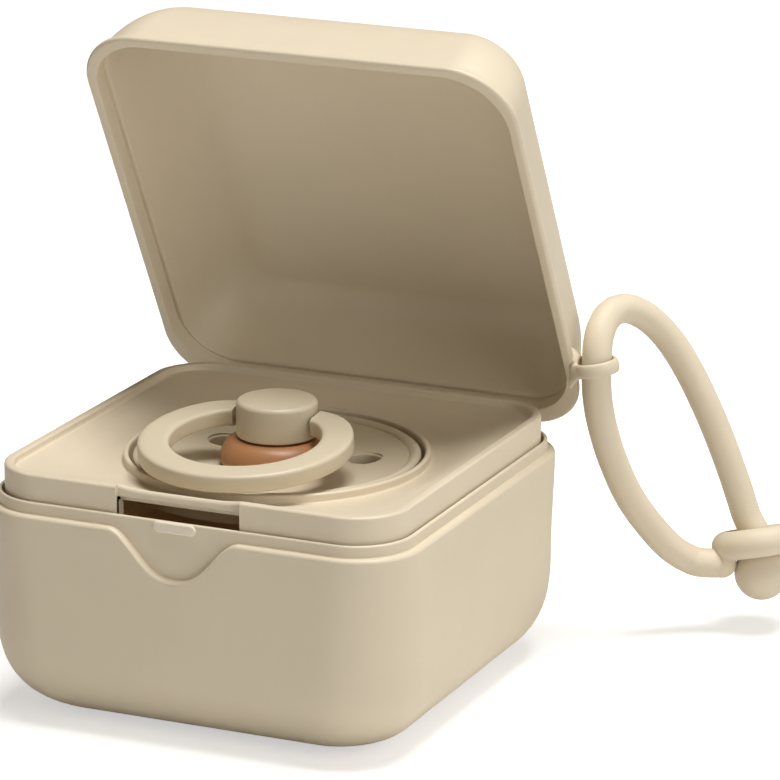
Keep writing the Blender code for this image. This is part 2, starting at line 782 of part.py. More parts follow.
# Knob with the stem that holds the nipple
profile = [(0.0, knob_top_z), (0.5 * knob_radius, knob_top_z - 0.25 * knob_crown)]
for turn_deg in (90.0, 65.0, 40.0, 15.0, 0.0):
    a = math.radians(turn_deg)
    profile.append((
        knob_radius - knob_round * (1.0 - math.cos(a)),
        knob_top_z - knob_crown - knob_round * (1.0 - math.sin(a))))
profile += [
    (knob_radius, knob_foot_z + 0.4 * knob_round),
    (knob_radius - 0.3 * knob_round, knob_foot_z),
    (stem_radius, knob_foot_z),
    (stem_radius, knob_foot_z - stem_length),
    (0.0, knob_foot_z - stem_length),
]
points, faces = revolve(profile, turn_steps)
pacifier_knob = make("pacifier_knob", points, faces, toy_mat)
pin_tip_x = knob_radius - ring_pin_reach
for side, tag in ((1.0, "right"), (-1.0, "left")):
    bore = rod(
        "cut_knob_bore_" + tag, bore_radius,
        (side * (pin_tip_x - gap), 0.0, pivot_z),
        (side * (knob_radius + overrun), 0.0, pivot_z), toy_mat, steps=16)
    combine(pacifier_knob, bore, "DIFFERENCE")

# Ring, a flat band bent round in front of the knob with its ends turned in to the pivot
ring_mid = ring_outer_radius - 0.5 * ring_width
ring_start = Vector((knob_radius + gap, 0.0))
join = math.radians(ring_join_deg)
ring_join = Vector((ring_mid * math.cos(join), ring_mid * math.sin(join) - ring_ahead))
join_way = Vector((math.sin(join), -math.cos(join)))
reach = (ring_join - ring_start).length
ring_side = []
end_steps = 6
for i in range(end_steps):
    t = i / end_steps
    h0 = 2.0 * t ** 3 - 3.0 * t ** 2 + 1.0
    h1 = t ** 3 - 2.0 * t ** 2 + t
    h2 = -2.0 * t ** 3 + 3.0 * t ** 2
    h3 = t ** 3 - t ** 2
    spot = ring_start * h0 + Vector((reach, 0.0)) * h1 + ring_join * h2 + join_way * reach * h3
    ring_side.append((spot, ring_end_width + (ring_width - ring_end_width) * h2))
ring_path = list(ring_side)
arc_steps = 32
arc_turn = math.pi + 2.0 * join
for i in range(arc_steps + 1):
    a = join - arc_turn * i / arc_steps
    spot = Vector((ring_mid * math.cos(a), ring_mid * math.sin(a) - ring_ahead))
    ring_path.append((spot, ring_width))
for spot, width in reversed(ring_side):
    ring_path.append((Vector((-spot.x, spot.y)), width))
rings = []
section_steps = 16
for i, (spot, width) in enumerate(ring_path):
    before = ring_path[max(i - 1, 0)][0]
    after = ring_path[min(i + 1, len(ring_path) - 1)][0]
    way = (after - before).normalized()
    if i == 0:
        way = Vector((1.0, 0.0))
    if i == len(ring_path) - 1:
        way = Vector((-1.0, 0.0)) * -1.0
    side = Vector((-way.y, way.x))
    ring = []
    for j in range(section_steps):
        b = 2.0 * math.pi * j / section_steps
        across = math.copysign(abs(math.cos(b)) ** ring_square_share, math.cos(b))
        up = math.copysign(abs(math.sin(b)) ** ring_square_share, math.sin(b))
        flat = spot + side * (0.5 * width * across)
        ring.append(Vector((flat.x, flat.y, 0.5 * ring_thickness * up)))
    rings.append(ring)
points, faces = loft(rings)
pacifier_ring = make("pacifier_ring", points, faces, toy_mat)
ring_turn = math.radians(ring_tilt_deg)
pacifier_ring.location = (0.0, 0.0, pivot_z)
pacifier_ring.rotation_euler = (ring_turn, 0.0, 0.0)
for side, tag in ((1.0, "right"), (-1.0, "left")):
    stub = rod(
        "cut_ring_pin_" + tag, ring_pin_radius,
        (side * pin_tip_x, 0.0, 0.0),
        (side * (ring_start.x + 0.5 * ring_end_width), 0.0, 0.0), toy_mat, steps=16)
    stub.location = (0.0, 0.0, pivot_z)
    stub.rotation_euler = (ring_turn, 0.0, 0.0)
    combine(pacifier_ring, stub, "UNION")

# Carrying loop: a silicone tube through the lug, from the eyelet's side round to the ball
centre = Vector(eyelet_centre)
ball_way = Vector(ball_way_shares).normalized()
eyelet_middle = strap_radius + strap_hole_gap + eyelet_section_radius
eyelet_outer = eyelet_middle + eyelet_section_radius
ball_drop = math.sqrt((ball_radius + eyelet_section_radius + gap) ** 2 - eyelet_middle ** 2)
ball_centre = centre + ball_way * (ball_drop + 0.2 * gap)
first_way = Vector(strap_route[0]) - centre
first_way = (first_way - ball_way * first_way.dot(ball_way)).normalized()
neck_start = centre + first_way * (eyelet_outer + neck_reach) + ball_way * neck_drop
neck_root = centre + first_way * (eyelet_middle + neck_root_inset) + ball_way * neck_root_drop
neck_way = (neck_start - neck_root).normalized()
tube_start = neck_start + neck_way * gap
tube_end = ball_centre - ball_way * (ball_radius + gap)
route = [tube_start, tube_start + neck_way * strap_radius * 0.5] + [Vector(p) for p in strap_route] + [centre - ball_way * strap_radius * 0.5, tube_end]


def smooth_route(route, per_span):
    """Points of a Catmull-Rom curve through the route's own points."""
    out = []
    last = len(route) - 1
    for i in range(last):
        p1 = route[i]
        p2 = route[i + 1]
        p0 = route[i - 1] if i > 0 else p1 * 2.0 - p2
        p3 = route[i + 2] if i + 2 <= last else p2 * 2.0 - p1
        for step in range(per_span):
            t = step / per_span
            out.append(0.5 * (
                p1 * 2.0 + (p2 - p0) * t
                + (p0 * 2.0 - p1 * 5.0 + p2 * 4.0 - p3) * t ** 2
                + (p1 * 3.0 - p0 - p2 * 3.0 + p3) * t ** 3))
    out.append(route[-1])
    return out


line = smooth_route(route, 2)
curve = bpy.data.curves.new("strap_tube", "CURVE")
curve.dimensions = "3D"
curve.bevel_depth = strap_radius
curve.bevel_resolution = 2
curve.use_fill_caps = True
spline = curve.splines.new("POLY")
spline.points.add(len(line) - 1)
for point, spot in zip(spline.points, line):
    point.co = (spot.x, spot.y, spot.z, 1.0)
curve.materials.append(strap_mat)
strap_tube = bpy.data.objects.new("strap_tube", curve)
bpy.context.scene.collection.objects.link(strap_tube)
spans = [(b - a).length for a, b in zip(line, line[1:])]
print("strap tube length mm", round(sum(spans) * 1000.0, 1))

# Eyelet that the tube's other end passes through, and the ball that stops it
rings = []
for i in range(small_turn_steps):
    a = 2.0 * math.pi * i / small_turn_steps
    ring = []
    for j in range(eye_section_steps):
        b = 2.0 * math.pi * j / eye_section_steps
        radius = eyelet_middle + eyelet_section_radius * math.cos(b)
        ring.append(Vector((radius * math.cos(a), radius * math.sin(a), eyelet_section_radius * math.sin(b))))
    rings.append(ring)
points, faces = loft(rings, closed=True)
lean = ball_way.to_track_quat("Z", "Y").to_matrix().to_4x4()
strap_eyelet = make("strap_eyelet", turned(points, Matrix.Translation(centre) @ lean), faces, strap_mat)
neck = rod("cut_eyelet_neck", strap_radius, neck_root, neck_start, strap_mat)
combine(strap_eyelet, neck, "UNION")

profile = []
for i in range(17):
    a = math.radians(90.0 - 180.0 * i / 16.0)
    profile.append((ball_radius * math.cos(a), ball_radius * math.sin(a)))
profile[0] = (0.0, ball_radius)
profile[-1] = (0.0, -ball_radius)
points, faces = revolve(profile, small_turn_steps)
strap_ball = make("strap_ball", turned(points, Matrix.Translation(ball_centre) @ lean), faces, strap_mat)
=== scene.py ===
# Pacifier sterilizer case: its looks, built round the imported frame
import math

import bmesh
import bpy
from mathutils import Matrix, Vector


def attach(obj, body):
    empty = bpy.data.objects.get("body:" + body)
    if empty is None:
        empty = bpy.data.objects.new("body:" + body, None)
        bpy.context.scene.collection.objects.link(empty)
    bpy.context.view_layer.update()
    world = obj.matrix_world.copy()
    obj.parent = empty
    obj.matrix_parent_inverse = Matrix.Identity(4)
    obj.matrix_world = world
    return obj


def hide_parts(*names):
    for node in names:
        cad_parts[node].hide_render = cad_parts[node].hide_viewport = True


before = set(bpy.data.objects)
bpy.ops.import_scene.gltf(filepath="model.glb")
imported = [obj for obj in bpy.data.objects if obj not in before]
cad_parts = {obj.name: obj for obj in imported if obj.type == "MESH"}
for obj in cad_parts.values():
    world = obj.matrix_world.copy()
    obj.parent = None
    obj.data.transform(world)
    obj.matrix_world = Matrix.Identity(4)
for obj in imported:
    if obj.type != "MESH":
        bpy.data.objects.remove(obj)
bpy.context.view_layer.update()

# Camera at the photograph's place
look_at = Vector((0.01337, 0.00964, 0.04285))
camera_azimuth_deg = 24.15
camera_height_deg = 16.66
camera_distance = 0.7276
camera_lens = 221.34
camera_shift = (0.0080, 0.0175)

azimuth = math.radians(camera_azimuth_deg)
height_angle = math.radians(camera_height_deg)
camera_back = Vector((
    math.sin(azimuth) * math.cos(height_angle),
    -math.cos(azimuth) * math.cos(height_angle),
    math.sin(height_angle)))
camera_data = bpy.data.cameras.new("camera")
camera_data.lens = camera_lens
camera_data.sensor_width = 36.0
camera_data.shift_x, camera_data.shift_y = camera_shift
camera_data.clip_start = 0.01
camera_data.clip_end = 20.0
camera = bpy.data.objects.new("camera", camera_data)
camera.rotation_mode = "QUATERNION"
camera.location = look_at + camera_back * camera_distance
camera.rotation_quaternion = (-camera_back).to_track_quat("-Z", "Y")
bpy.context.scene.collection.objects.link(camera)
bpy.context.scene.camera = camera


# Materials
def nodes_of(name):
    mat = bpy.data.materials.new(name)
    mat.use_nodes = True
    return mat, mat.node_tree, mat.node_tree.nodes["Principled BSDF"]


def noise(tree, scale, detail, roughness=0.5, distortion=0.0):
    node = tree.nodes.new("ShaderNodeTexNoise")
    node.inputs["Scale"].default_value = scale
    node.inputs["Detail"].default_value = detail
    node.inputs["Roughness"].default_value = roughness
    node.inputs["Distortion"].default_value = distortion
    return node


def spread(tree, socket, low, high):
    node = tree.nodes.new("ShaderNodeMapRange")
    node.inputs["From Min"].default_value = 0.3
    node.inputs["From Max"].default_value = 0.7
    node.inputs["To Min"].default_value = low
    node.inputs["To Max"].default_value = high
    tree.links.new(socket, node.inputs["Value"])
    return node.outputs["Result"]


def surface(
        name, colour, tone, rough, grain, grain_depth,
        swirl=45.0, specular=0.5, scatter=0.0, scatter_mm=1.0):
    """Moulded surface: soft mottling of the colour, uneven gloss and a fine grain in the normal."""
    mat, tree, shader = nodes_of(name)
    place = tree.nodes.new("ShaderNodeTexCoord").outputs["Object"]
    broad = noise(tree, swirl, 3.0, 0.55, 0.6)
    tree.links.new(place, broad.inputs["Vector"])
    mix = tree.nodes.new("ShaderNodeMix")
    mix.data_type = "RGBA"
    dark = [c * (1.0 - tone) for c in colour]
    light = [min(c * (1.0 + tone), 1.0) for c in colour]
    mix.inputs["A"].default_value = (*dark, 1.0)
    mix.inputs["B"].default_value = (*light, 1.0)
    tree.links.new(spread(tree, broad.outputs["Fac"], 0.0, 1.0), mix.inputs["Factor"])
    tree.links.new(mix.outputs["Result"], shader.inputs["Base Color"])
    patch = noise(tree, 9.0 * swirl, 4.0, 0.6)
    tree.links.new(place, patch.inputs["Vector"])
    tree.links.new(spread(tree, patch.outputs["Fac"], rough[0], rough[1]), shader.inputs["Roughness"])
    fine = noise(tree, grain, 3.0, 0.65)
    tree.links.new(place, fine.inputs["Vector"])
    bump = tree.nodes.new("ShaderNodeBump")
    bump.inputs["Strength"].default_value = 0.35
    bump.inputs["Distance"].default_value = grain_depth
    tree.links.new(fine.outputs["Fac"], bump.inputs["Height"])
    tree.links.new(bump.outputs["Normal"], shader.inputs["Normal"])
    shader.inputs["Specular IOR Level"].default_value = specular
    if scatter > 0.0:
        shader.inputs["Subsurface Weight"].default_value = scatter
        shader.inputs["Subsurface Radius"].default_value = (1.0, 0.6, 0.3)
        shader.inputs["Subsurface Scale"].default_value = scatter_mm * 0.001
    return mat


shell_mat = surface("shell_satin", (0.690, 0.600, 0.450), 0.018, (0.44, 0.54), 2600.0, 0.000020)
lid_mat = surface("lid_satin", (0.690, 0.600, 0.450), 0.018, (0.44, 0.54), 2600.0, 0.000020)
# Catch bump colour: lighter than the shell, a painted highlight for the light its raised shape catches
catch_highlight_mat = surface("catch_painted_highlight", (0.800, 0.720, 0.570), 0.010, (0.40, 0.50), 2600.0, 0.000012)
tray_mat = surface("tray_satin", (0.700, 0.605, 0.455), 0.018, (0.42, 0.52), 2600.0, 0.000016)
toy_mat = surface("toy_satin", (0.610, 0.530, 0.388), 0.014, (0.36, 0.46), 3200.0, 0.000010)
latex_mat = surface(
    "latex_amber", (0.450, 0.215, 0.095), 0.040, (0.34, 0.44), 900.0, 0.000004, 90.0, 0.4, 0.30, 1.2)
silicone_mat = surface(
    "silicone_soft", (0.700, 0.610, 0.460), 0.012, (0.50, 0.60), 3600.0, 0.000012, 60.0, 0.4, 0.12, 0.8)


def brushed(name):
    mat, tree, shader = nodes_of(name)
    place = tree.nodes.new("ShaderNodeTexCoord").outputs["Object"]
    stretch = tree.nodes.new("ShaderNodeMapping")
    stretch.inputs["Scale"].default_value = (4000.0, 300.0, 300.0)
    tree.links.new(place, stretch.inputs["Vector"])
    lines = noise(tree, 1.0, 2.0)
    tree.links.new(stretch.outputs["Vector"], lines.inputs["Vector"])
    tree.links.new(spread(tree, lines.outputs["Fac"], 0.28, 0.42), shader.inputs["Roughness"])
    mix = tree.nodes.new("ShaderNodeMix")
    mix.data_type = "RGBA"
    mix.inputs["A"].default_value = (0.50, 0.50, 0.50, 1.0)
    mix.inputs["B"].default_value = (0.60, 0.60, 0.59, 1.0)
    tree.links.new(lines.outputs["Fac"], mix.inputs["Factor"])
    tree.links.new(mix.outputs["Result"], shader.inputs["Base Color"])
    shader.inputs["Metallic"].default_value = 1.0
    return mat


steel_mat = brushed("pin_steel")

# Sizes, as the solids have them
gap = 0.0003
seat_gap = 0.0003
embed = 0.0006
tub_half = 0.0347
tub_corner = 0.0102
tub_foot_rise = 0.0176
tub_foot_inset = 0.0347 * 0.507
tub_foot_corner = 0.0118
shoulder_z = 0.0330
shoulder_round = 0.0006
band_half = 0.0335
band_z = 0.0348
band_round = 0.0003
band_wall = 0.0006
tub_floor_wall = 0.0022
tub_side_wall = 0.0032
tub_cavity_rise = 0.0150
tub_cavity_inset = tub_foot_inset - 0.0026
tray_seat_z = 0.0260
foot_power = 2.94
scallop_half = 0.0106
scallop_depth = 0.0070
scallop_power = 1.25
catch_length = 0.0070
catch_height = 0.0017
catch_reach = 0.0003
catch_drop = 0.0009
front_middle_x = -0.0007
roof_z = 0.0500
lid_wall = 0.0014
lid_roof_wall = 0.0017
lid_corner = 0.0092
lid_roof_rise = 0.0164
lid_roof_inset = 0.0085
lid_power = 1.9
rim_reach = 0.0009
rim_height = 0.0018
rim_round = 0.0005
rim_rear_reach = 0.0010
rabbet_depth = 0.0026
lid_open_deg = 61.6
hinge_y = 0.0374
hinge_z = 0.0324
barrel_radius = 0.0019
lid_knuckle_half = 0.0097
tub_knuckle_length = 0.0120
web_drop = 0.0045
lug_from_hinge = 0.0139
lug_above_rim = 0.0011
lug_wall = 0.0009
lug_height = 0.0023
lug_stand_off = 0.00025
lug_root_length = 0.0062
lug_tilt_deg = -28.4
lug_roll_deg = -11.0
tray_wall = 0.0012
tray_corner = 0.0085
tray_top_z = 0.0388
tray_edge_round = 0.0004
lip_width = 0.0015
lip_depth = 0.0010
dish_depth = 0.0024
plate_wall = 0.0014
collar_wall = 0.0008
collar_rise = 0.0013
well_seat_z = 0.0333
well_seat_width = 0.0026
well_seat_wall = 0.0012
notch_half = 0.0101
notch_roof_drop = 0.0018
notch_setback = 0.0009
notch_edge_drop = 0.0005
notch_edge_round = 0.0006
notch_rib_depth = 0.0015
notch_rib_width = 0.0010
shield_radius = 0.0219
shield_fit = 0.0006
shield_wall = 0.0016
shield_rim_width = 0.0019
shield_rim_rise = 0.0006
shield_dish = 0.0016
shield_centre_z = 0.0342
vent_radius = 0.0025
vent_offset = 0.0117
vent_behind = 0.0062
neck_radius = 0.0036
flange_radius = 0.0087
flange_edge = 0.0012
flange_top_radius = 0.0060
flange_top_z = 0.0388
nipple_tip_z = 0.0056
bulb_radius = 0.0070
latex_wall = 0.0011
knob_radius = 0.0062
knob_foot_z = 0.0391
knob_top_z = 0.0447
knob_round = 0.0007
knob_crown = 0.0001
stem_radius = 0.0019
stem_length = 0.0090
pivot_z = 0.0415
ring_pin_radius = 0.0010
ring_pin_reach = 0.0022
ring_outer_radius = 0.0162
ring_width = 0.0048
ring_thickness = 0.0029
ring_ahead = 0.0110
ring_end_width = 0.0044
ring_square_share = 0.34
ring_join_deg = 38.0
ring_tilt_deg = 5.2
strap_radius = 0.00230
strap_hole_gap = 0.00034
eyelet_section_radius = 0.00230
ball_radius = 0.0043
neck_reach = 0.0012
neck_drop = 0.0021
neck_root_inset = 0.0014
neck_root_drop = 0.0025

rim_z = shoulder_z + seat_gap
band_inner_half = band_half - band_wall
tray_half = band_inner_half - gap
shield_top_z = shield_centre_z + shield_dish + shield_rim_rise
shield_foot_z = well_seat_z + seat_gap
collar_inner = shield_radius + shield_fit
collar_outer = collar_inner + collar_wall
dish_radius = collar_outer + collar_wall
lip_floor_z = tray_top_z - lip_depth
dish_z = lip_floor_z - dish_depth
collar_z = dish_z + collar_rise
nipple_bore = stem_radius + gap

# Counts
corner_steps = 22
front_steps = 170
side_steps = 24
round_steps = 7
curve_steps = 26
turn_steps = 128


def make(name, points, faces, mat, body, smooth_deg=38.0):
    mesh = bpy.data.meshes.new(name)
    mesh.from_pydata([tuple(p) for p in points], [], faces)
    mesh.validate()
    work = bmesh.new()
    work.from_mesh(mesh)
    bmesh.ops.recalc_face_normals(work, faces=work.faces)
    work.to_mesh(mesh)
    work.free()
    obj = bpy.data.objects.new(name, mesh)
    bpy.context.scene.collection.objects.link(obj)
    finish_piece(obj, mat, body, smooth_deg)
    return obj


def finish_piece(obj, mat, body, smooth_deg=38.0):
    obj.data.materials.clear()
    obj.data.materials.append(mat)
    obj.data.shade_smooth()
    obj.data.set_sharp_from_angle(angle=math.radians(smooth_deg))
    if body:
        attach(obj, body)


def settle(obj):
    """Applies the modifiers of a piece."""
    graph = bpy.context.evaluated_depsgraph_get()
    graph.update()
    mesh = bpy.data.meshes.new_from_object(obj.evaluated_get(graph))
    obj.modifiers.clear()
    obj.data = mesh


def cut(obj, tool):
    step = obj.modifiers.new("cut", "BOOLEAN")
    step.operation = "DIFFERENCE"
    step.solver = "EXACT"
    step.object = tool
    settle(obj)
    bpy.data.objects.remove(tool, do_unlink=True)


def loft(rings, closed=False):
    count = len(rings[0])
    points = [p for ring in rings for p in ring]
    faces = []
    spans = len(rings) if closed else len(rings) - 1
    for i in range(spans):
        a = i * count
        b = ((i + 1) % len(rings)) * count
        for j in range(count):
            k = (j + 1) % count
            faces.append((a + j, a + k, b + k, b + j))
    if not closed:
        faces.append(tuple(reversed(range(count))))
        last = (len(rings) - 1) * count
        faces.append(tuple(range(last, last + count)))
    return points, faces


def outline(half, corner, z, rear_reach=0.0):
    rear = half + rear_reach
    straight = half - corner
    rear_line = rear - corner
    points = []

    def run(start, end, steps):
        for i in range(steps):
            points.append(Vector(start).lerp(Vector(end), i / steps))

    def arc(cx, cy, start_deg):
        for i in range(corner_steps):
            a = math.radians(start_deg + 90.0 * i / corner_steps)
            points.append(Vector((cx + corner * math.cos(a), cy + corner * math.sin(a), z)))

    run((-straight, -half, z), (straight, -half, z), front_steps)
    arc(straight, -straight, -90.0)
    run((half, -straight, z), (half, rear_line, z), side_steps)
    arc(straight, rear_line, 0.0)
    run((straight, rear, z), (-straight, rear, z), side_steps)
    arc(-straight, rear_line, 90.0)
    run((-half, rear_line, z), (-half, -straight, z), side_steps)
    arc(-straight, -straight, 180.0)
    return points


def round_outline(like, radius, z):
    points = []
    for p in like:
        flat = Vector((p.x, p.y, 0.0)).normalized()
        points.append(Vector((flat.x * radius, flat.y * radius, z)))
    return points


def blend(first, second, share, z):
    points = []
    for p, q in zip(first, second):
        mixed = p.lerp(q, share)
        mixed.z = z
        points.append(mixed)
    return points


def super_steps(rise, inset, power, steps):
    out = []
    for i in range(steps + 1):
        a = 0.5 * math.pi * i / steps
        up = math.sin(a) ** (2.0 / power)
        side = max(math.cos(a), 0.0) ** (2.0 / power)
        out.append((rise * up, inset * (1.0 - side)))
    return out


def quarter(steps=round_steps):
    """Cosine and sine along a quarter turn."""
    turns = [0.5 * math.pi * i / steps for i in range(steps + 1)]
    return [(math.cos(turn), math.sin(turn)) for turn in turns]


def revolve(profile, steps=turn_steps, closed=False):
    points = []
    rows = []
    for radius, height in profile:
        if radius <= 0.0:
            rows.append([len(points)] * steps)
            points.append(Vector((0.0, 0.0, height)))
        else:
            row = []
            for i in range(steps):
                a = 2.0 * math.pi * i / steps
                row.append(len(points))
                points.append(Vector((radius * math.cos(a), radius * math.sin(a), height)))
            rows.append(row)
    faces = []
    spans = len(rows) if closed else len(rows) - 1
    for i in range(spans):
        low = rows[i]
        high = rows[(i + 1) % len(rows)]
        for j in range(steps):
            k = (j + 1) % steps
            ids = []
            for index in (low[j], low[k], high[k], high[j]):
                if index not in ids:
                    ids.append(index)
            if len(ids) > 2:
                faces.append(tuple(ids))
    return points, faces


def turned(points, matrix):
    return [matrix @ p for p in points]


def rod_mesh(radius, start, end, steps=64, edge=0.0):
    """Round bar between two points, its end edges rounded by edge."""
    start = Vector(start)
    end = Vector(end)
    along = end - start
    turn = Matrix.Translation(start) @ along.to_track_quat("Z", "Y").to_matrix().to_4x4()
    length = along.length
    if edge > 0.0:
        profile = [(0.0, 0.0)]
        turns = 4 if edge < 0.5 * radius else 12
        profile += [(radius - edge + edge * s, edge * (1.0 - c)) for c, s in quarter(turns)]
        profile += [(radius - edge + edge * c, length - edge * (1.0 - s)) for c, s in quarter(turns)]
        profile += [(0.0, length)]
    else:
        profile = [(0.0, 0.0), (radius, 0.0), (radius, length), (0.0, length)]
    points, faces = revolve(profile, steps)
    return turned(points, turn), faces


def prism_mesh(shape, x0, x1):
    count = len(shape)
    points = [Vector((x0, y, z)) for y, z in shape] + [Vector((x1, y, z)) for y, z in shape]
    faces = [tuple(range(count)), tuple(reversed(range(count, 2 * count)))]
    for i in range(count):
        j = (i + 1) % count
        faces.append((i, i + count, j + count, j))
    return points, faces


def joined(parts):
    points = []
    faces = []
    for some_points, some_faces in parts:
        shift = len(points)
        points += some_points
        faces += [tuple(i + shift for i in face) for face in some_faces]
    return points, faces


def melted(name, parts, voxel, rounds, mat, body):
    """Overlapping closed forms run together into one skin with soft fillets."""
    points, faces = joined(parts)
    obj = make(name, points, faces, mat, None)
    skin = obj.modifiers.new("skin", "REMESH")
    skin.mode = "VOXEL"
    skin.voxel_size = voxel
    settle(obj)
    soft = obj.modifiers.new("soft", "SMOOTH")
    soft.factor = 0.5
    soft.iterations = rounds
    settle(obj)
    finish_piece(obj, mat, body, 180.0)
    return obj


# Water tub
def scallop(p):
    beside = abs(p.x - front_middle_x)
    if p.y > 0.0 or beside >= scallop_half or abs(p.y) < tub_half - tub_corner:
        return 0.0
    share = (beside / scallop_half) ** scallop_power
    return scallop_depth * 0.5 * (1.0 + math.cos(math.pi * share))


squeeze_z = tub_foot_rise + 0.25 * (shoulder_z - tub_foot_rise)


def wall_corner(z):
    share = (z - tub_foot_rise) / (shoulder_z - tub_foot_rise)
    return tub_foot_corner + (tub_corner - tub_foot_corner) * share ** 2 * (3.0 - 2.0 * share)


def tub_ring(half, corner, z):
    ring = outline(half, corner, z)
    for p in ring:
        depth = scallop(p)
        if depth > 0.0:
            if shoulder_z - p.z <= shoulder_round * 1.01:
                p.z -= depth
            else:
                share = (p.z - squeeze_z) / (shoulder_z - squeeze_z)
                p.z = squeeze_z + share * (shoulder_z - depth - squeeze_z)
    return ring


rings = []
for rise, inset in reversed(super_steps(tub_foot_rise, tub_foot_inset, foot_power, curve_steps)):
    corner = tub_foot_corner - (inset / tub_foot_inset) * (tub_foot_corner - 0.3 * tub_corner)
    rings.append(outline(tub_half - inset, corner, tub_foot_rise - rise))
for i in range(1, 5):
    z = tub_foot_rise + (i / 4.0) * (squeeze_z - tub_foot_rise)
    rings.append(outline(tub_half, wall_corner(z), z))
for i in range(1, 13):
    z = squeeze_z + (i / 13.0) * (shoulder_z - shoulder_round - squeeze_z)
    rings.append(tub_ring(tub_half, wall_corner(z), z))
for c, s in quarter():
    inset = shoulder_round * (1.0 - c)
    rings.append(tub_ring(tub_half - inset, tub_corner - inset, shoulder_z - shoulder_round * (1.0 - s)))
band_corner = tub_corner - (tub_half - band_half)
rings.append(tub_ring(band_half + 0.0001, band_corner + 0.0001, shoulder_z))
rings.append(tub_ring(band_half, band_corner, shoulder_z + 0.0001))
for c, s in quarter():
    inset = band_round * (1.0 - c)
    rings.append(outline(band_half - inset, band_corner - inset, band_z - band_round * (1.0 - s)))
inner_corner = band_corner - band_wall
for c, s in quarter():
    inset = 0.5 * band_round * (1.0 - s)
    rings.append(outline(
        band_inner_half + inset, inner_corner + inset, band_z - 0.5 * band_round * (1.0 - c)))
rings.append(outline(band_inner_half, inner_corner, tray_seat_z))
cavity_half = tub_half - tub_side_wall
cavity_corner = inner_corner - (band_inner_half - cavity_half)
rings.append(outline(cavity_half, cavity_corner, tray_seat_z))
for rise, inset in super_steps(tub_cavity_rise, tub_cavity_inset, foot_power, curve_steps):
    corner = cavity_corner - 0.75 * cavity_corner * inset / tub_cavity_inset
    rings.append(outline(cavity_half - inset, corner, tub_floor_wall + tub_cavity_rise - rise))
points, faces = loft(rings)
tub_shell = make("tub_shell", points, faces, shell_mat, "tub")
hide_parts("base_tub")

# Catch bump on the band's front, in a lighter tone painted as its highlight
catch_centre_z = band_z - catch_drop
catch_straight = 0.5 * (catch_length - catch_height)
catch_rings = []
catch_levels = [(1.0, -0.5 * band_wall)] + [(c, catch_reach * s) for c, s in quarter(8)[:-1]]
for swell_share, reach in catch_levels:
    swell = 0.5 * catch_height * (0.55 + 0.45 * swell_share)
    ring = []
    for side in (1.0, -1.0):
        for i in range(25):
            b = math.radians(-90.0 + 180.0 * i / 24.0)
            x = front_middle_x + side * (catch_straight + swell * math.cos(b))
            ring.append(Vector((x, -band_half - reach, catch_centre_z + side * swell * math.sin(b))))
    catch_rings.append(ring)
points, faces = loft(catch_rings)
make("tub_catch", points, faces, catch_highlight_mat, "tub", 60.0)

# Knuckles of the tub
tub_knuckle_x = lid_knuckle_half + gap
for side, tag in ((1.0, "right"), (-1.0, "left")):
    near_x = side * tub_knuckle_x
    far_x = side * (tub_knuckle_x + tub_knuckle_length)
    web = prism_mesh([
        (tub_half - embed, shoulder_z - 0.5 * gap),
        (hinge_y - 0.85 * barrel_radius, shoulder_z - 0.5 * gap),
        (hinge_y, hinge_z),
        (hinge_y + 0.3 * barrel_radius, hinge_z - 0.93 * barrel_radius),
        (tub_half - embed, hinge_z - barrel_radius - web_drop),
    ], near_x + side * 0.0002, far_x - side * 0.0002)
    barrel = rod_mesh(barrel_radius, (near_x, hinge_y, hinge_z), (far_x, hinge_y, hinge_z), 64, 0.0002)
    points, faces = joined([web, barrel])
    make("tub_knuckle_" + tag, points, faces, shell_mat, "tub", 30.0)

# Lid, drawn shut and turned open about its hinge
hinge_place = Vector((0.0, hinge_y, hinge_z))
swing = (
    Matrix.Translation(hinge_place)
    @ Matrix.Rotation(-math.radians(lid_open_deg), 4, "X")
    @ Matrix.Translation(-hinge_place))

rings = []
roof_base_z = roof_z - lid_roof_rise
rim_top_z = rim_z + rim_height
for rise, inset in reversed(super_steps(lid_roof_rise, lid_roof_inset, lid_power, curve_steps + 10)):
    z = roof_base_z + rise
    if z > rim_top_z + 0.0002:
        rings.append(outline(tub_half - inset, lid_corner - 0.4 * inset, z))
rim_half = tub_half + rim_reach
rim_corner = lid_corner + rim_reach
rim_shape = [
    (0.03, 1.06), (0.08, 0.98), (0.18, 0.92), (0.34, 0.86), (0.52, 0.80),
    (0.68, 0.72), (0.82, 0.62), (0.92, 0.50), (0.98, 0.38)]
for reach_share, height_share in rim_shape:
    reach = reach_share * rim_reach
    rings.append(outline(
        tub_half + reach, lid_corner + reach,
        rim_z + height_share * rim_height, reach_share * rim_rear_reach))
for c, s in quarter():
    inset = rim_round * (1.0 - c)
    rings.append(outline(rim_half - inset, rim_corner - inset, rim_z + rim_round * (1.0 - s), rim_rear_reach))
rabbet_half = band_half + gap + 0.5 * band_round
rabbet_corner = band_corner + (rabbet_half - band_half)
for c, s in quarter(5):
    inset = 0.4 * rim_round * (1.0 - s)
    rings.append(outline(
        rabbet_half + inset, rabbet_corner + inset, rim_z + 0.4 * rim_round * (1.0 - c)))
rings.append(outline(rabbet_half, rabbet_corner, rim_z + rabbet_depth))
dome_half = tub_half - lid_wall
dome_corner = lid_corner - lid_wall
dome_rise = roof_z - lid_roof_wall - roof_base_z
dome_inset = lid_roof_inset - 0.5 * lid_wall
first = True
for rise, inset in super_steps(dome_rise, dome_inset, lid_power, curve_steps + 10):
    z = roof_base_z + rise
    if z >= rim_z + rabbet_depth:
        if first:
            rings.append(outline(
                dome_half - inset + 0.0002, dome_corner + 0.0002 - 0.4 * inset, rim_z + rabbet_depth))
            rings.append(outline(dome_half - inset, dome_corner - 0.4 * inset, rim_z + rabbet_depth + 0.0002))
            first = False
        else:
            rings.append(outline(dome_half - inset, dome_corner - 0.4 * inset, z))
points, faces = loft(rings)
